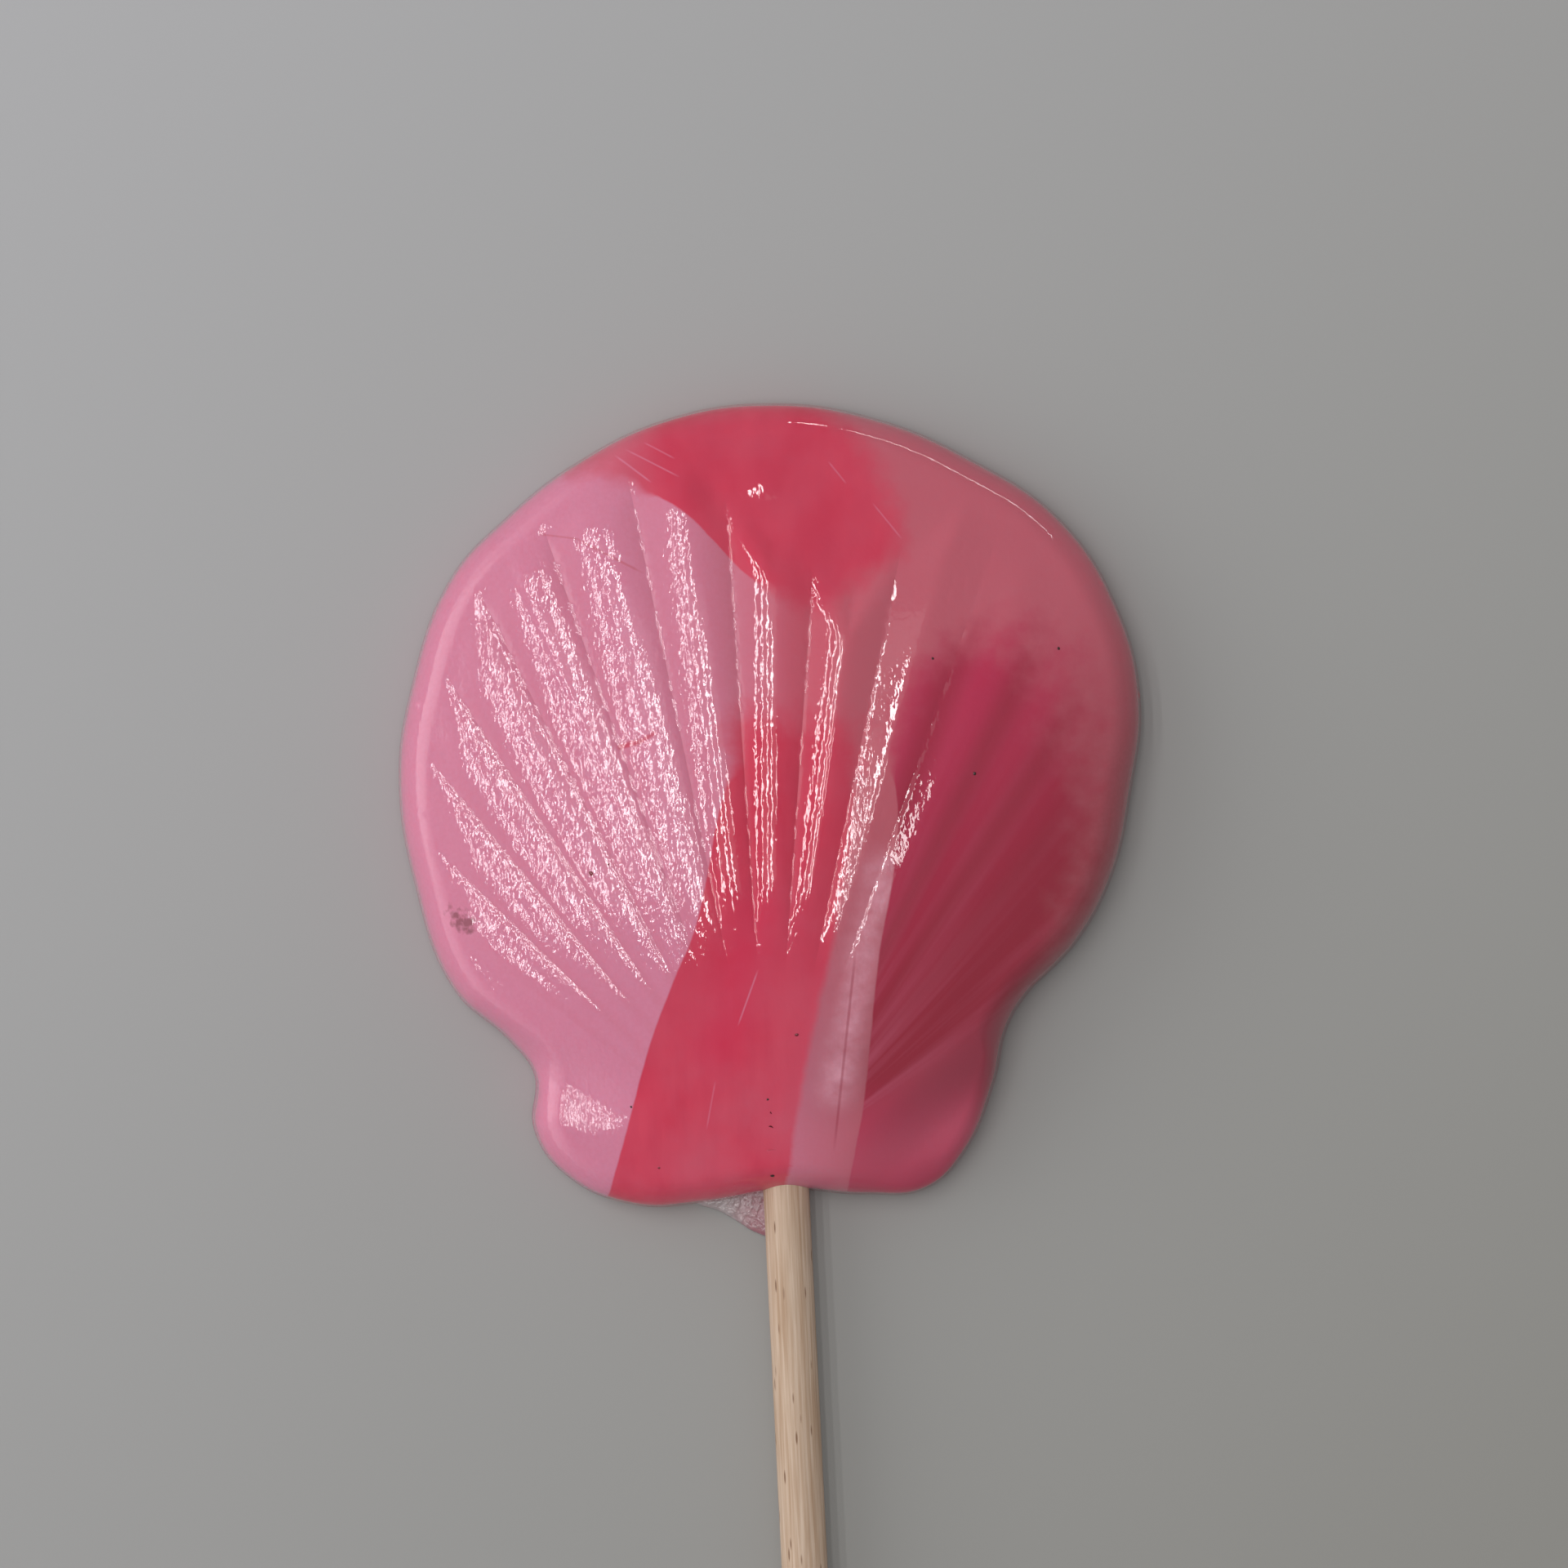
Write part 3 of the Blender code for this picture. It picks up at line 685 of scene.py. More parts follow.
def store_field(obj, name, outline, softness):
    """softness is a number, or one for each point of the mesh, in metres."""
    flat = coordinates(obj)[:, :2]
    edge = signed_distance(flat, smooth_outline(outline)) / softness
    store(obj.data, name, np.clip(edge, -FIELD_LIMIT, FIELD_LIMIT))
    return (edge > 0).mean()


FIELD_LIMIT = 12.0
CRISP = 0.10 * MM

# The cap blurs to the right and at its far left end, the stream at its top and a little on its
# right, and the magenta at its top and where it thins out at the right.
flat = coordinates(shell)[:, :2]
x_mm, y_mm = flat[:, 0] / MM, flat[:, 1] / MM
cap_softness = CRISP + 1.6 * MM * ramp(-2.0, 3.0, x_mm) + 1.4 * MM * ramp(-9.0, -14.0, x_mm)
stream_softness = CRISP + 2.2 * MM * ramp(-2.0, 4.0, y_mm) + 0.35 * MM * ramp(0.0, 3.0, x_mm)
thinning = ramp(16.0, 24.0, x_mm) * ramp(-22.0, -17.0, y_mm)
magenta_softness = CRISP + 2.4 * MM * ramp(-1.0, 5.0, y_mm) + 3.0 * MM * thinning
for name, outline, softness in (
    ("cap", CAP, cap_softness),
    ("stream", STREAM, stream_softness),
    ("magenta", MAGENTA_FIELD, magenta_softness),
):
    print(name, "covers %.0f%% of the points" % (100 * store_field(shell, name, outline, softness)))

# %% [markdown]
# ## Drift inside the fields
#
# No field is even. The pink turns from cool to warm across the shell and is painted darker to the
# right, partly its own warmer hue and partly painted shade of the side away from the lamps. All
# colours are painted darker to the lower right, as painted shade where the face turns from the
# light, and streaks of hotter or milkier sugar run through them. These could be gradients in the
# shader, but as numbers on the points they can use the same ribs and distances that made the shape.

# %% Broad drift of the colours
BRIDGE = ((2.6, 3.0), (3.2, 16.0), 3.2)  # red that bled between cap and stream: ends, half width
# Painted shade: the colours are painted darker across this span, from upper left to lower right,
# where the face turns from the light.
PAINTED_SHADE_SPAN = (4.0, 27.0)  # from upper left to lower right, in millimetres across the shell
# Soft streaks: name, from, to, half width in mm.
STREAKS = [("hot", (-0.6, -12.0), (-4.6, -23.5), 2.6), ("milky", (9.6, -8.0), (5.6, -27.0), 1.5)]
STREAKS += [("ear_bloom", (8.0, -33.6), (17.5, -30.5), 2.6), ("bridge", *BRIDGE)]
SMUDGE_SPOTS = [(-27.4, -11.9, 1.5), (-25.9, -12.9, 1.3)]  # x, y, radius in mm

# Painted shade: darkest at the lower right, where the face turns from the light, and weaker on the
# lower ear.
deep = ramp(*PAINTED_SHADE_SPAN, (x_mm - y_mm) / sqrt(2.0)) * (1.0 - 0.75 * ramp(-25.0, -32.0, y_mm))
smudge = sum(
    np.exp(-((x_mm - x) ** 2 + (y_mm - y) ** 2) / radius**2) for x, y, radius in SMUDGE_SPOTS
)
# Finely pebbled skin: the left part, the milky strip, and the left ear a little more.
matt = ramp(-3.8, -7.4, x_mm) + ramp(5.5, 2.5, y_mm) * ramp(4.0, 6.0, x_mm) * ramp(9.6, 8.4, x_mm)
matt += 0.8 * ramp(-22.0, -25.0, y_mm) * ramp(-8.0, -11.0, x_mm)
for name, values in (
    # Partly the pink's own warmer hue and partly painted shade: it is painted darker to the right,
    # away from the lamps.
    ("warm_and_shaded", ramp(-11.0, 9.0, x_mm + 0.1 * y_mm)),
    ("deep", deep),
    ("pale_end", ramp(-8.5, -14.0, x_mm)),
    ("matt", matt),
    ("smudge", smudge),
):
    store(shell.data, name, values)
for name, start, end, half_width in STREAKS:
    away = segment_distance(flat, start, end) / (half_width * MM)
    store(shell.data, name, np.exp(-(away**2)))
print("pebbled: %.0f%% of the points" % (100 * (matt > 0.5).mean()))

# %% Numbers that follow the ribs
count = rib_count(fan_bearing(flat))
reach_mm = np.linalg.norm(flat - FAN_POINT, axis=1) / MM
crest = np.abs(count - np.round(count)) * 2.0  # 0 on a crest, 1 in a groove
over_ribs = ramp(8.0, 22.0, reach_mm) * ramp(2.5, 8.0, distance_to_rim(flat) / MM)
# Painted shade along the grooves of the ribs: the colour is darker there.
store(shell.data, "groove", ramp(0.15, 1.0, crest) * over_ribs * (np.abs(count) < LAST_RIB))
fan = np.column_stack([count, reach_mm, np.zeros(len(flat))])


def store_vectors(mesh, name, vectors):
    spots = mesh.attributes.new(name, "FLOAT_VECTOR", "POINT").data
    spots.foreach_set("vector", np.array(vectors, np.float32).ravel())


store_vectors(shell.data, "fan", fan)
print("ribs counted from", round(count.min(), 1), "to", round(count.max(), 1))

# %% [markdown]
# ## Boiled sugar
#
# Boiled sugar is a glass of sucrose and glucose, cast hot in a silicone mould. Its IOR is
# close to 1.5. Clear sugar is wet-looking and tinted through, so light enters and comes out
# again some millimetres on: that is subsurface scattering. Pink sugar was pulled or whitened,
# so it is opaque, its skin is finely pebbled, and its highlights break into sparkles.

# %% Colours and grain of the sugar
SUGAR_IOR = 1.5
COOL_PINK = "#dc88a4"
# Dusty rose: the pink's warmer hue and its painted shade on the right; it also paints the shade in
# grooves and folds.
DUSTY_ROSE = "#c96474"
SHADED_ROSE = "#a24d57"
MILKY_ROSE = "#e3a3b4"
CLEAR_RED = "#de445f"
DEEP_RED = "#ca2d4d"
HOT_RED = "#d81c4c"
SALMON = "#d27287"
MAGENTA = "#c42f56"
# Wine: the magenta's painted shade towards the lower right and along its grooves, and also the
# seam's own colour.
WINE = "#9a263b"
RAY_PINK = "#c05a72"
SMUDGE_BROWN = "#7a3f42"
PEBBLE_WIDTH = 0.36 * MM  # the real pebbles are finer, and would be too fine to show
PEBBLE_STRETCH = 2.0  # times as long as wide, roughly along the ribs
PEBBLE_DEPTH = 0.026 * MM
PEBBLE_SHARE = (0.30, 1.0)  # of the depth, on clear sugar and on the pebbled skin
SKIN_ROUGHNESS = (0.04, 0.09)
MATT_MOST = 1.8
RIPPLE, RIPPLE_DEPTH = 1.1 * MM, 0.016 * MM


def clouds(tree, place, size, detail, low, high, to_low=0.0, to_high=1.0):
    """Cloudy noise, with features about as large as size, spread from one range to another."""
    fog = {"Vector": place, "Scale": 1.0 / size, "Detail": detail}
    fog = add(tree, "ShaderNodeTexNoise", fog)
    return add(tree, "ShaderNodeMapRange", (fog, low, high, to_low, to_high))


def field_mask(tree, name, wobble):
    """0 outside a colour field and 1 inside, with a slightly wandering edge."""
    edge = add(tree, "ShaderNodeAttribute", output="Fac", attribute_name=name)
    edge = add(tree, "ShaderNodeMath", (edge, wobble), operation="ADD")
    return add(tree, "ShaderNodeMapRange", (edge, -1.0, 1.0), interpolation_type="SMOOTHSTEP")


print("pebbles, mm:", round(PEBBLE_WIDTH / MM, 2), "wide and", round(PEBBLE_DEPTH / MM, 3), "deep")

# %% [markdown]
# ## Scratches, folds and a nick
#
# Handled sugar has a few fine scratches, painted as pale lines of highlight; the folds are painted
# a little darker than the skin round them, as painted shade; and the nick lays the red bare. A
# groove that fine would need far more points, so each is a straight line in the colour: the surface
# is turned and stretched until the line is one unit long and one wide, and the mask is what lies
# within that unit.

# %% Fine lines
# Each line: from, to, half width in mm, colour, strength.
SEAM = [((7.4, -14.6), (5.5, -32.6), 0.16, WINE, 0.45)]
NICK = [((-13.2, 2.4), (-11.0, 3.0), 0.32, DEEP_RED, 0.75)]
NICK += [((-11.4, 2.8), (-9.7, 3.8), 0.26, DEEP_RED, 0.65)]
# Painted shade along the two folds: darker lines of dusty rose.
FOLD_SHADE_LINES = [((-20.0, 20.9), (-16.2, 20.4), 0.12, DUSTY_ROSE, 0.5)]
FOLD_SHADE_LINES += [((-16.8, 20.5), (-10.8, 17.4), 0.14, DUSTY_ROSE, 0.6)]
# Scratches, each a painted highlight in pale pink: from, to, half width in mm, strength.
SCRATCH_HIGHLIGHTS = [((-13.5, 27.8), (-10.2, 25.3), 0.11, 0.6), ((-12.6, 28.3), (-7.8, 25.8), 0.10, 0.5)]
SCRATCH_HIGHLIGHTS += [((-11.0, 28.9), (-8.2, 27.4), 0.10, 0.4), ((8.8, 23.6), (11.4, 20.4), 0.10, 0.4)]
SCRATCH_HIGHLIGHTS += [((5.0, 27.2), (6.6, 25.2), 0.10, 0.4), ((-1.0, -16.6), (-2.8, -21.6), 0.10, 0.6)]
SCRATCH_HIGHLIGHTS += [((-4.7, -26.2), (-5.5, -30.6), 0.10, 0.35)]
FINE_LINES = SEAM + NICK + FOLD_SHADE_LINES
# The scratches' painted highlights, in pale pink.
FINE_LINES += [(*ends_and_width, COOL_PINK, strength) for *ends_and_width, strength in SCRATCH_HIGHLIGHTS]


def fine_line(tree, place, start, end, half_width):
    """1 on a straight line between two points in millimetres, fading out at its ends and sides."""
    start, end = np.array(start) * MM, np.array(end) * MM
    run, middle = end - start, (start + end) / 2.0
    settings = {
        "Vector": place,
        "Location": (*middle, 0.0),
        "Rotation": (0.0, 0.0, atan2(run[1], run[0])),
        "Scale": (float(np.linalg.norm(run)) / 2.0, half_width * MM, 1.0),
    }
    away = add(tree, "ShaderNodeMapping", settings, vector_type="TEXTURE")
    away = add(tree, "ShaderNodeVectorMath", (away,), operation="ABSOLUTE")
    away = add(tree, "ShaderNodeSeparateXYZ", (away,)).node.outputs
    ends = add(tree, "ShaderNodeMapRange", (away["X"], 0.7, 1.0, 1.0, 0.0))
    sides = add(tree, "ShaderNodeMapRange", (away["Y"], 0.3, 1.0, 1.0, 0.0))
    return add(tree, "ShaderNodeMath", (ends, sides), operation="MULTIPLY")


print("fine lines:", len(FINE_LINES))

# %% [markdown]
# ## Pouring the colours
#
# The colour is built up as the sugar was: first the opaque pink, with milky frost and a fine
# speckle, then the clear red with its drawn-out fibres, then the magenta with rays that fan out
# from the hinge. Noise that is stretched in the fan's own numbers, ribs across and millimetres
# along, gives streaks that follow the ribs. Near the hinge those streaks would crowd together,
# so there they melt into one tone.

# %% Pink, red and magenta sugar
SPECKLE, FIBRE, FROST, CLOUD = 0.35 * MM, 1.3 * MM, 1.6 * MM, 8.0 * MM  # widths


def product(tree, *values):
    """Several masks or numbers, multiplied together."""
    so_far = values[0]
    for value in values[1:]:
        so_far = add(tree, "ShaderNodeMath", (so_far, value), operation="MULTIPLY")
    return so_far


def pink_sugar(tree, place, drift):
    frost = clouds(tree, place, FROST, 6.0, 0.3, 0.7, 0.35, 0.85)
    speckle = clouds(tree, place, SPECKLE, 2.0, 0.35, 0.65)
    # Painted shade: the rose darkens towards the lower right.
    rose = lay(tree, DUSTY_ROSE, SHADED_ROSE, drift["deep"])
    # Partly the pink's own warmer hue, partly painted shade: darker rose to the right, away from
    # the lamps.
    pink = lay(tree, COOL_PINK, rose, drift["warm_and_shaded"])
    pink = lay(tree, pink, CLEAR_RED, drift["bridge"], 0.42)
    pink = lay(tree, pink, MILKY_ROSE, product(tree, drift["milky"], frost))
    pink = lay(tree, pink, DUSTY_ROSE, speckle, 0.10)
    # Painted shade: darker rose along the grooves.
    return lay(tree, pink, DUSTY_ROSE, drift["groove"], 0.16)


def red_sugar(tree, place, fan, reach, drift):
    drawn = add(tree, "ShaderNodeMapping", {"Vector": fan, "Scale": (1.3, 0.07, 1.0)})
    streaks = clouds(tree, drawn, 1.0, 3.0, 0.25, 0.75)
    streaks = product(tree, streaks, add(tree, "ShaderNodeMapRange", (reach, 12.0, 26.0)))
    melted = add(tree, "ShaderNodeMapRange", (reach, 12.0, 26.0, 0.7, 0.0))
    streaks = add(tree, "ShaderNodeMath", (streaks, melted), operation="MAXIMUM")
    red = lay(tree, DEEP_RED, CLEAR_RED, streaks)

    turned = {"Vector": place, "Scale": (1.0, 0.16, 1.0), "Rotation": (0.0, 0.0, 0.2)}
    turned = add(tree, "ShaderNodeMapping", turned)
    fibres = clouds(tree, turned, FIBRE, 4.0, 0.38, 0.68, 0.0, 0.45)
    above = add(tree, "ShaderNodeMapRange", (reach, 24.0, 32.0, 1.0, 0.3))
    red = lay(tree, red, DEEP_RED, product(tree, fibres, above))
    red = lay(tree, red, HOT_RED, drift["hot"], 0.6)
    mottle = clouds(tree, place, CLOUD, 3.0, 0.3, 0.7)
    hinge = add(tree, "ShaderNodeMapRange", (reach, 6.0, 22.0, 0.42, 0.22))
    return lay(tree, red, SALMON, product(tree, mottle, hinge))


def magenta_sugar(tree, fan, reach, drift):
    # Painted shade: the magenta darkens to wine towards the lower right.
    wine = lay(tree, MAGENTA, WINE, drift["deep"])
    drawn = add(tree, "ShaderNodeMapping", {"Vector": fan, "Scale": (1.5, 0.02, 1.0)})
    rays = clouds(tree, drawn, 1.0, 4.0, 0.42, 0.66)
    hinge = add(tree, "ShaderNodeMapRange", (reach, 16.0, 36.0, 0.60, 0.24))
    wine = lay(tree, wine, RAY_PINK, product(tree, rays, hinge))
    # Painted shade: wine along the grooves of the magenta.
    wine = lay(tree, wine, WINE, drift["groove"], 0.60)
    return lay(tree, wine, SALMON, drift["ear_bloom"], 0.26)


sizes_mm = [round(size / MM, 2) for size in (SPECKLE, FIBRE, FROST, CLOUD)]
print("speckle, fibres, frost and clouds, mm:", sizes_mm)

# %% All of them, with their marks
DRIFTS = ["warm_and_shaded", "deep", "pale_end", "groove", "smudge"] + [name for name, *_ in STREAKS]


def poured_colour(tree, place, fan, masks):
    """The colour of the sugar: each pouring is laid over the last one by its mask."""
    reach = add(tree, "ShaderNodeSeparateXYZ", (fan,), output="Y")
    drift = {
        name: add(tree, "ShaderNodeAttribute", output="Fac", attribute_name=name)
        for name in DRIFTS
    }
    colour = pink_sugar(tree, place, drift)
    red = red_sugar(tree, place, fan, reach, drift)
    colour = lay(tree, colour, lay(tree, red, SALMON, drift["pale_end"], 0.6), masks["cap"])
    colour = lay(tree, colour, red, masks["stream"])
    colour = lay(tree, colour, magenta_sugar(tree, fan, reach, drift), masks["magenta"])

    for start, end, half_width, ink, strength in FINE_LINES:
        colour = lay(tree, colour, ink, fine_line(tree, place, start, end, half_width), strength)
    flecks = {"Vector": place, "Scale": 1.0 / (0.7 * MM), "Detail": 4.0}
    smeared = product(tree, drift["smudge"], add(tree, "ShaderNodeTexNoise", flecks))
    smeared = add(tree, "ShaderNodeMapRange", (smeared, 0.42, 0.66, 0.0, 0.65))
    return lay(tree, colour, SMUDGE_BROWN, smeared)


print("numbers read from the points:", DRIFTS)


# %% Material of the shell
def pebbled_normal(tree, place, matt):
    """Pebbles of the mould's skin, and over them the low ripples of sugar that set."""
    drawn = {"Vector": place, "Scale": (1.0, 1.0 / PEBBLE_STRETCH, 1.0)}
    drawn = add(tree, "ShaderNodeMapping", drawn)
    noisy = {"Vector": drawn, "Scale": 1.0 / PEBBLE_WIDTH, "Detail": 1.0}
    share = add(tree, "ShaderNodeMapRange", (matt, 0.0, MATT_MOST, *PEBBLE_SHARE))
    height = product(tree, add(tree, "ShaderNodeTexNoise", noisy), share)
    skin = {"Height": height, "Distance": PEBBLE_DEPTH, "Strength": 1.0}
    skin = add(tree, "ShaderNodeBump", skin)
    ripples = {"Vector": place, "Scale": 1.0 / RIPPLE, "Detail": 2.0}
    ripples = add(tree, "ShaderNodeTexNoise", ripples)
    ripples = {"Height": ripples, "Distance": RIPPLE_DEPTH, "Strength": 1.0, "Normal": skin}
    return add(tree, "ShaderNodeBump", ripples)


def boiled_sugar():
    numbers = {
        "IOR": SUGAR_IOR,
        "Specular IOR Level": 0.65,
        "Subsurface Weight": 0.5,
        "Subsurface Radius": (1.0, 0.35, 0.4),  # red light goes furthest through pink sugar
        "Subsurface Scale": 1.4 * MM,
    }
    material, tree, shader = new_material("moulded boiled sugar", numbers)
    place = add(tree, "ShaderNodeTexCoord", output="Object")
    fan = add(tree, "ShaderNodeAttribute", output="Vector", attribute_name="fan")

    wobble = clouds(tree, place, 2.0 * MM, 3.0, 0.0, 1.0, -0.8, 0.8)
    masks = {name: field_mask(tree, name, wobble) for name in ("cap", "stream", "magenta")}
    tree.links.new(poured_colour(tree, place, fan, masks), shader.inputs["Base Color"])

    clear = masks["cap"]
    for name in ("stream", "magenta"):
        clear = add(tree, "ShaderNodeMath", (clear, masks[name]), operation="MAXIMUM")
    opaque = add(tree, "ShaderNodeMath", (1.0, clear), operation="SUBTRACT")
    matt = add(tree, "ShaderNodeAttribute", output="Fac", attribute_name="matt")
    matt = product(tree, matt, opaque)
    rough = add(tree, "ShaderNodeMapRange", (matt, 0.0, MATT_MOST, *SKIN_ROUGHNESS))
    tree.links.new(rough, shader.inputs["Roughness"])
    tree.links.new(pebbled_normal(tree, place, matt), shader.inputs["Normal"])
    return material


sugar = boiled_sugar()
shell.data.materials.append(sugar)
print("sugar material:", len(sugar.node_tree.nodes), "nodes")

# %% [markdown]
# ## The turned beech stick
#
# The stick is a dowel of beech, turned and never coated, so it is matt. Beech is easy to know
# by its flecks: short dark dashes along the grain, where the rays of the wood come to the
# surface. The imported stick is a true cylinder. A bump texture alone would leave its outline
# ruled, so this one is a fine tube round the same axis, worn by a few hundredths of a
# millimetre, with softened ends.

# %% Shape of the stick
STICK_RADIUS = 2.0 * MM
STICK_LENGTH = 150.0 * MM
STICK_INSIDE = 32.0 * MM
STICK_AXIS_HEIGHT = 3.2 * MM
STICK_ENTRY = (1.4 * MM, -36.2 * MM)
STICK_LEAN = 2.8  # degrees
STICK_SOFTENED = 0.25 * MM
STICK_SIDES, STICK_STEPS = 96, 420
UNEVENNESS = 0.035 * MM
GRAIN_CELL, GRAIN_RUN = 0.9 * MM, 3.0 * MM  # worn hollows, across and along the grain

lean = radians(STICK_LEAN)
stick_start = Vector((*STICK_ENTRY, STICK_AXIS_HEIGHT))
stick_down = Vector((sin(lean), -cos(lean), 0.0))
stick_side = Vector((cos(lean), sin(lean), 0.0))


def stick_stations():
    """Distance along the stick and radius, closely spaced at the softened ends."""
    turns = np.linspace(0, pi / 2, 7)
    ends = [(STICK_SOFTENED * (1 - cos(a)), STICK_SOFTENED * (1 - sin(a))) for a in turns]
    near = [(along, STICK_RADIUS - inset) for along, inset in ends]
    middle = [
        (along, STICK_RADIUS)
        for along in np.linspace(STICK_SOFTENED, STICK_LENGTH - STICK_SOFTENED, STICK_STEPS)[1:-1]
    ]
    far = [(STICK_LENGTH - along, radius) for along, radius in reversed(near)]
    return near + middle + far


def smooth_mesh(name, bm):
    mesh = bpy.data.meshes.new(name)
    bm.to_mesh(mesh)
    bm.free()
    mesh.shade_smooth()
    return mesh


def skinned(name, bm, rings):
    """A smooth mesh of the rings of points in bm, with a face over the first and last ring."""
    for here, there in zip(rings, rings[1:]):
        for side in range(len(here)):
            after = (side + 1) % len(here)
            bm.faces.new((here[side], here[after], there[after], there[side]))
    bm.faces.new(rings[0])
    bm.faces.new(rings[-1])
    bmesh.ops.recalc_face_normals(bm, faces=bm.faces)
    return smooth_mesh(name, bm)


def turned_stick():
    bm = bmesh.new()
    grain = []
    rings = []
    for along, radius in stick_stations():
        ring = []
        for side in range(STICK_SIDES):
            around = tau * side / STICK_SIDES
            local = Vector((cos(around) * radius, sin(around) * radius, along))
            grain_cell = Vector((local.x / GRAIN_CELL, local.y / GRAIN_CELL, along / GRAIN_RUN))
            rough = noise.noise(grain_cell)
            worn = min(0.0, UNEVENNESS * rough)
            spot = local + Vector((cos(around), sin(around), 0.0)) * worn
            place = stick_start + stick_down * (spot.z - STICK_INSIDE) + stick_side * spot.x
            ring.append(bm.verts.new(place + Vector((0.0, 0.0, spot.y))))
            grain.append(local)
        rings.append(ring)
    stick = placed("beech_stick", skinned("beech_stick", bm, rings))
    store_vectors(stick.data, "grain", grain)
    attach(stick, "root")
    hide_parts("stick")
    return stick


stick = turned_stick()

# %% [markdown]
# ## Beech
#
# Bare wood has two scales of figure: pale and darker streaks of growth that run the whole
# length, and the ray flecks. Both come from noise read in the stick's own coordinates, so that
# they follow the grain. The noise is stretched along the stick by giving that axis a much
# smaller scale.

# %% Material of the stick
BEECH_PALE = "#d3bba6"
BEECH_STREAK = "#b4957b"
BEECH_FLECK = "#6f4a31"
STREAK_WIDTH = 0.28 * MM
FIBRE_DEPTH = 0.012 * MM
FLECK_CELL = (0.55 * MM, 3.4 * MM)  # one fleck in about every other cell, across and along


def turned_beech():
    numbers = {"Roughness": 0.72, "Specular IOR Level": 0.3}
    material, tree, shader = new_material("turned beech dowel", numbers)
    grain = add(tree, "ShaderNodeAttribute", output="Vector", attribute_name="grain")

    drawn = add(tree, "ShaderNodeMapping", {"Vector": grain, "Scale": (1.0, 1.0, 0.03)})
    streaks = clouds(tree, drawn, STREAK_WIDTH, 5.0, 0.36, 0.66)
    colour = lay(tree, BEECH_PALE, BEECH_STREAK, streaks)
    slow = clouds(tree, grain, 6.0 * MM, 2.0, 0.35, 0.7, 0.0, 0.3)
    colour = lay(tree, colour, BEECH_STREAK, slow)

    across, along = FLECK_CELL
    cells = {"Vector": grain, "Scale": (1 / across, 1 / across, 1 / along)}
    cells = {"Vector": add(tree, "ShaderNodeMapping", cells), "Scale": 1.0}
    fleck = add(tree, "ShaderNodeTexVoronoi", cells).node.outputs
    chosen = add(tree, "ShaderNodeMapRange", (fleck["Color"], 0.50, 0.56))
    body = add(tree, "ShaderNodeMapRange", (fleck["Distance"], 0.11, 0.21, 1.0, 0.0))
    colour = lay(tree, colour, BEECH_FLECK, product(tree, chosen, body), 0.8)
    tree.links.new(colour, shader.inputs["Base Color"])

    fibre = {"Height": streaks, "Distance": FIBRE_DEPTH, "Strength": 1.0}
    tree.links.new(add(tree, "ShaderNodeBump", fibre), shader.inputs["Normal"])
    return material


stick.data.materials.append(turned_beech())
print("flecks per mm2, about:", round(0.5 / (FLECK_CELL[0] * FLECK_CELL[1]) * MM * MM, 2))

# %% [markdown]
# ## The film beside the stick
#
# A little clear sugar ran out under the hinge while it was hot and set as a thin film with a
# rounded edge. A flat plane would show no edge, so it is built in rings like a coin: each ring
# is the outline drawn in a little further and lifted a little more. Half a millimetre of sugar
# lets light through, and its tint is faint.

# %% Thin film of sugar
FILM_OUTLINE = [(-9.0, -34.5), (-6.6, -37.3), (-4.6, -38.0), (-2.8, -39.0), (-1.3, -39.9)]
FILM_OUTLINE += [(0.2, -40.2), (1.4, -38.9), (1.8, -34.5)]
FILM_BOTTOM, FILM_THICKNESS = 0.15 * MM, 0.5 * MM
FILM_EDGE = 0.45 * MM
FILM_TURNS = (0.0, 0.15, 0.35, 0.6, 0.8, 1.0)  # of a right angle, round the edge
FILM_SHARES = (0.8, 0.6, 0.4, 0.2)  # of the way to the edge, over the top
FILM_LUMPS, FILM_LUMP_SIZE = 0.12, 0.8 * MM


def sugar_film():
    outline = smooth_outline(FILM_OUTLINE, 10)
    middle = outline.mean(axis=0)
    inward = middle - outline
    inward /= np.linalg.norm(inward, axis=1, keepdims=True)
    bm = bmesh.new()

    def ring(spots, lift):
        lumps = [noise.noise(Vector((x, y, 0.0)) / FILM_LUMP_SIZE) for x, y in spots]
        return [
            bm.verts.new((x, y, FILM_BOTTOM + lift * (1.0 + FILM_LUMPS * lump)))
            for (x, y), lump in zip(spots, lumps)
        ]

    rings = []
    for share in FILM_TURNS:
        angle = share * pi / 2
        top = outline + inward * FILM_EDGE * (1 - cos(angle))
        rings.append(ring(top, FILM_THICKNESS * sin(angle)))
    for share in FILM_SHARES:
        rings.append(ring(middle + (top - middle) * share, FILM_THICKNESS))
    film = placed("sugar_film", skinned("sugar_film", bm, rings))
    store(film.data, "toward_stick", ramp(-4.2, -1.0, coordinates(film)[:, 0] / MM))
    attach(film, "root")
    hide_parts("candy_shell")
    return film


film = sugar_film()
print("sugar film:", len(film.data.polygons), "faces")

# %% Material of the film
FILM_CLEAR, FILM_PINK, FILM_FROTH = "#cfc4c4", "#c98a95", "#e9e0e0"


def thin_sugar():
    numbers = {"Roughness": 0.2, "IOR": SUGAR_IOR, "Transmission Weight": 0.45}
    material, tree, shader = new_material("thin clear boiled sugar", numbers)
    place = add(tree, "ShaderNodeTexCoord", output="Object")
    froth = clouds(tree, place, 0.5 * MM, 3.0, 0.4, 0.65)
    near = add(tree, "ShaderNodeAttribute", output="Fac", attribute_name="toward_stick")
    colour = lay(tree, lay(tree, FILM_CLEAR, FILM_PINK, near), FILM_FROTH, froth, 0.35)
    tree.links.new(colour, shader.inputs["Base Color"])
    lumps = {"Height": froth, "Distance": 0.03 * MM, "Strength": 1.0}
    tree.links.new(add(tree, "ShaderNodeBump", lumps), shader.inputs["Normal"])
    return material


film.data.materials.append(thin_sugar())
print("film material:", film.data.materials[0].name)

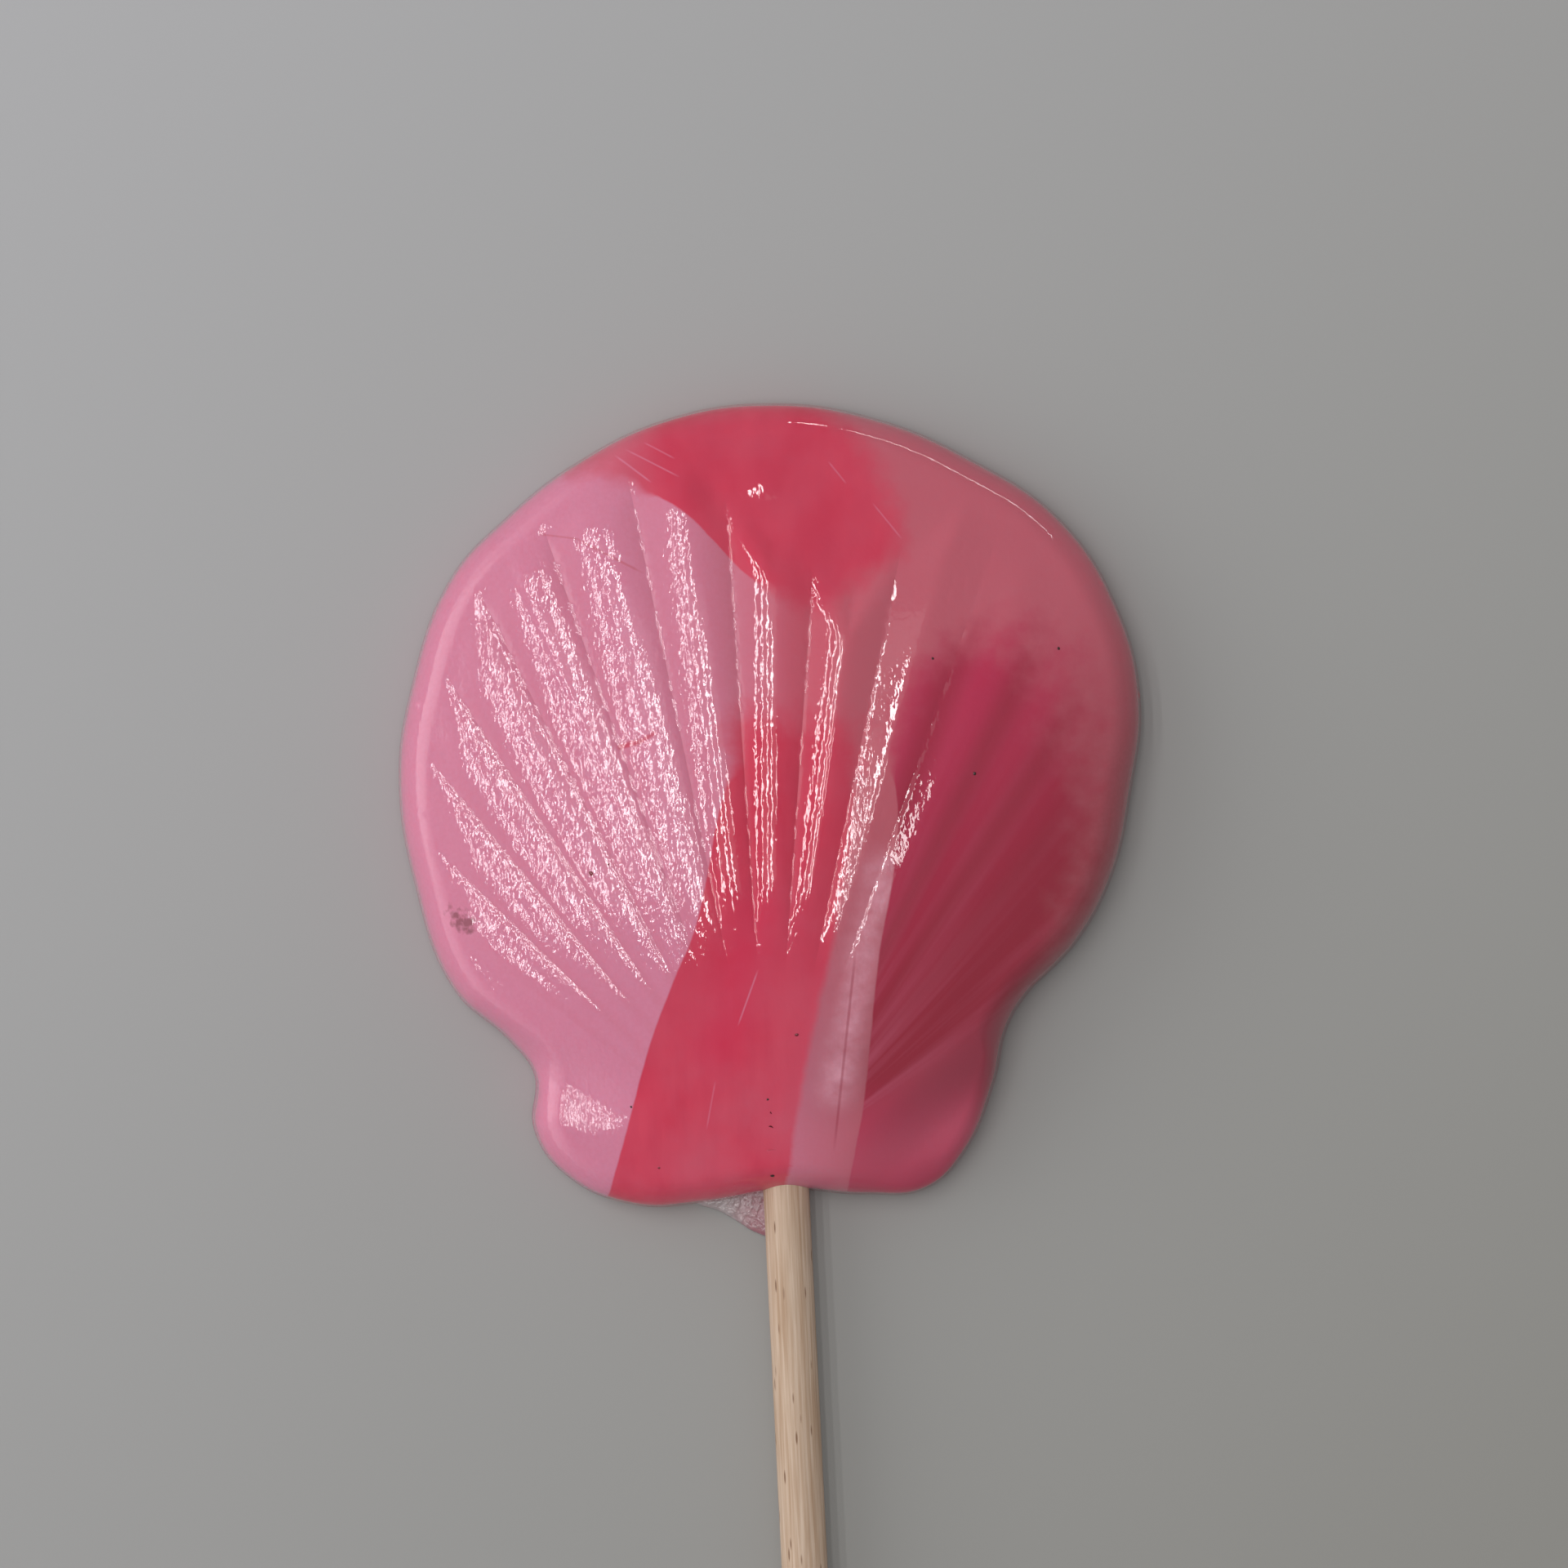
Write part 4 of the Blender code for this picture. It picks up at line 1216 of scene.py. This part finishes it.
# %% [markdown]
# ## Specks
#
# A few specks of burnt sugar and of darker red sit in the surface. They could be painted into
# the colour, but at a fifth of a millimetre they read better as small flat domes of their own,
# each set on the face by a ray cast straight down.

# %% Small marks on the face, as x, y and radius in mm
BURNT_SPECKS = [(17.6, 0.2, 0.13), (14.0, 10.1, 0.10), (0.2, -34.6, 0.16), (-12.0, -28.6, 0.09)]
BURNT_SPECKS += [(-0.2, -27.9, 0.09), (24.9, 11.0, 0.12)]
RED_SPECKS = [(-15.4, -8.4, 0.17), (-13.9, -7.6, 0.08), (2.3, -22.3, 0.14), (-9.6, -33.9, 0.10)]
SPECK_DARK, SPECK_MOTTLE = "#2a1210", 0.1 * MM

face_tree = BVHTree.FromObject(shell, bpy.context.evaluated_depsgraph_get())


def specks(name, spots, colour, roughness):
    bm = bmesh.new()
    for x, y, radius in spots:
        hit, normal, _, _ = face_tree.ray_cast(Vector((x * MM, y * MM, 0.1)), Vector((0, 0, -1)))
        made = bmesh.ops.create_icosphere(bm, subdivisions=2, radius=radius * MM)
        tilt = normal.to_track_quat("Z", "X").to_matrix()
        for vertex in made["verts"]:
            rough = 1.0 + 0.25 * noise.noise(vertex.co / (radius * MM) + Vector((x, y, 0)))
            flat_dome = Vector((vertex.co.x * rough, vertex.co.y * rough * 1.2, vertex.co.z * 0.25))
            vertex.co = hit + tilt @ flat_dome
    piece = placed(name, smooth_mesh(name, bm))
    numbers = {"Roughness": roughness}
    material, tree, shader = new_material(name.replace("_", " "), numbers)
    place = add(tree, "ShaderNodeTexCoord", output="Object")
    mottle = {"Vector": place, "Scale": 1.0 / SPECK_MOTTLE, "Detail": 2.0}
    colour = lay(tree, colour, SPECK_DARK, add(tree, "ShaderNodeTexNoise", mottle))
    tree.links.new(colour, shader.inputs["Base Color"])
    piece.data.materials.append(material)
    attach(piece, "root")
    return piece


specks("burnt_sugar_specks", BURNT_SPECKS, "#3a1a18", 0.35)
specks("dark_red_specks", RED_SPECKS, "#9c2238", 0.2)
print("specks:", len(BURNT_SPECKS) + len(RED_SPECKS))
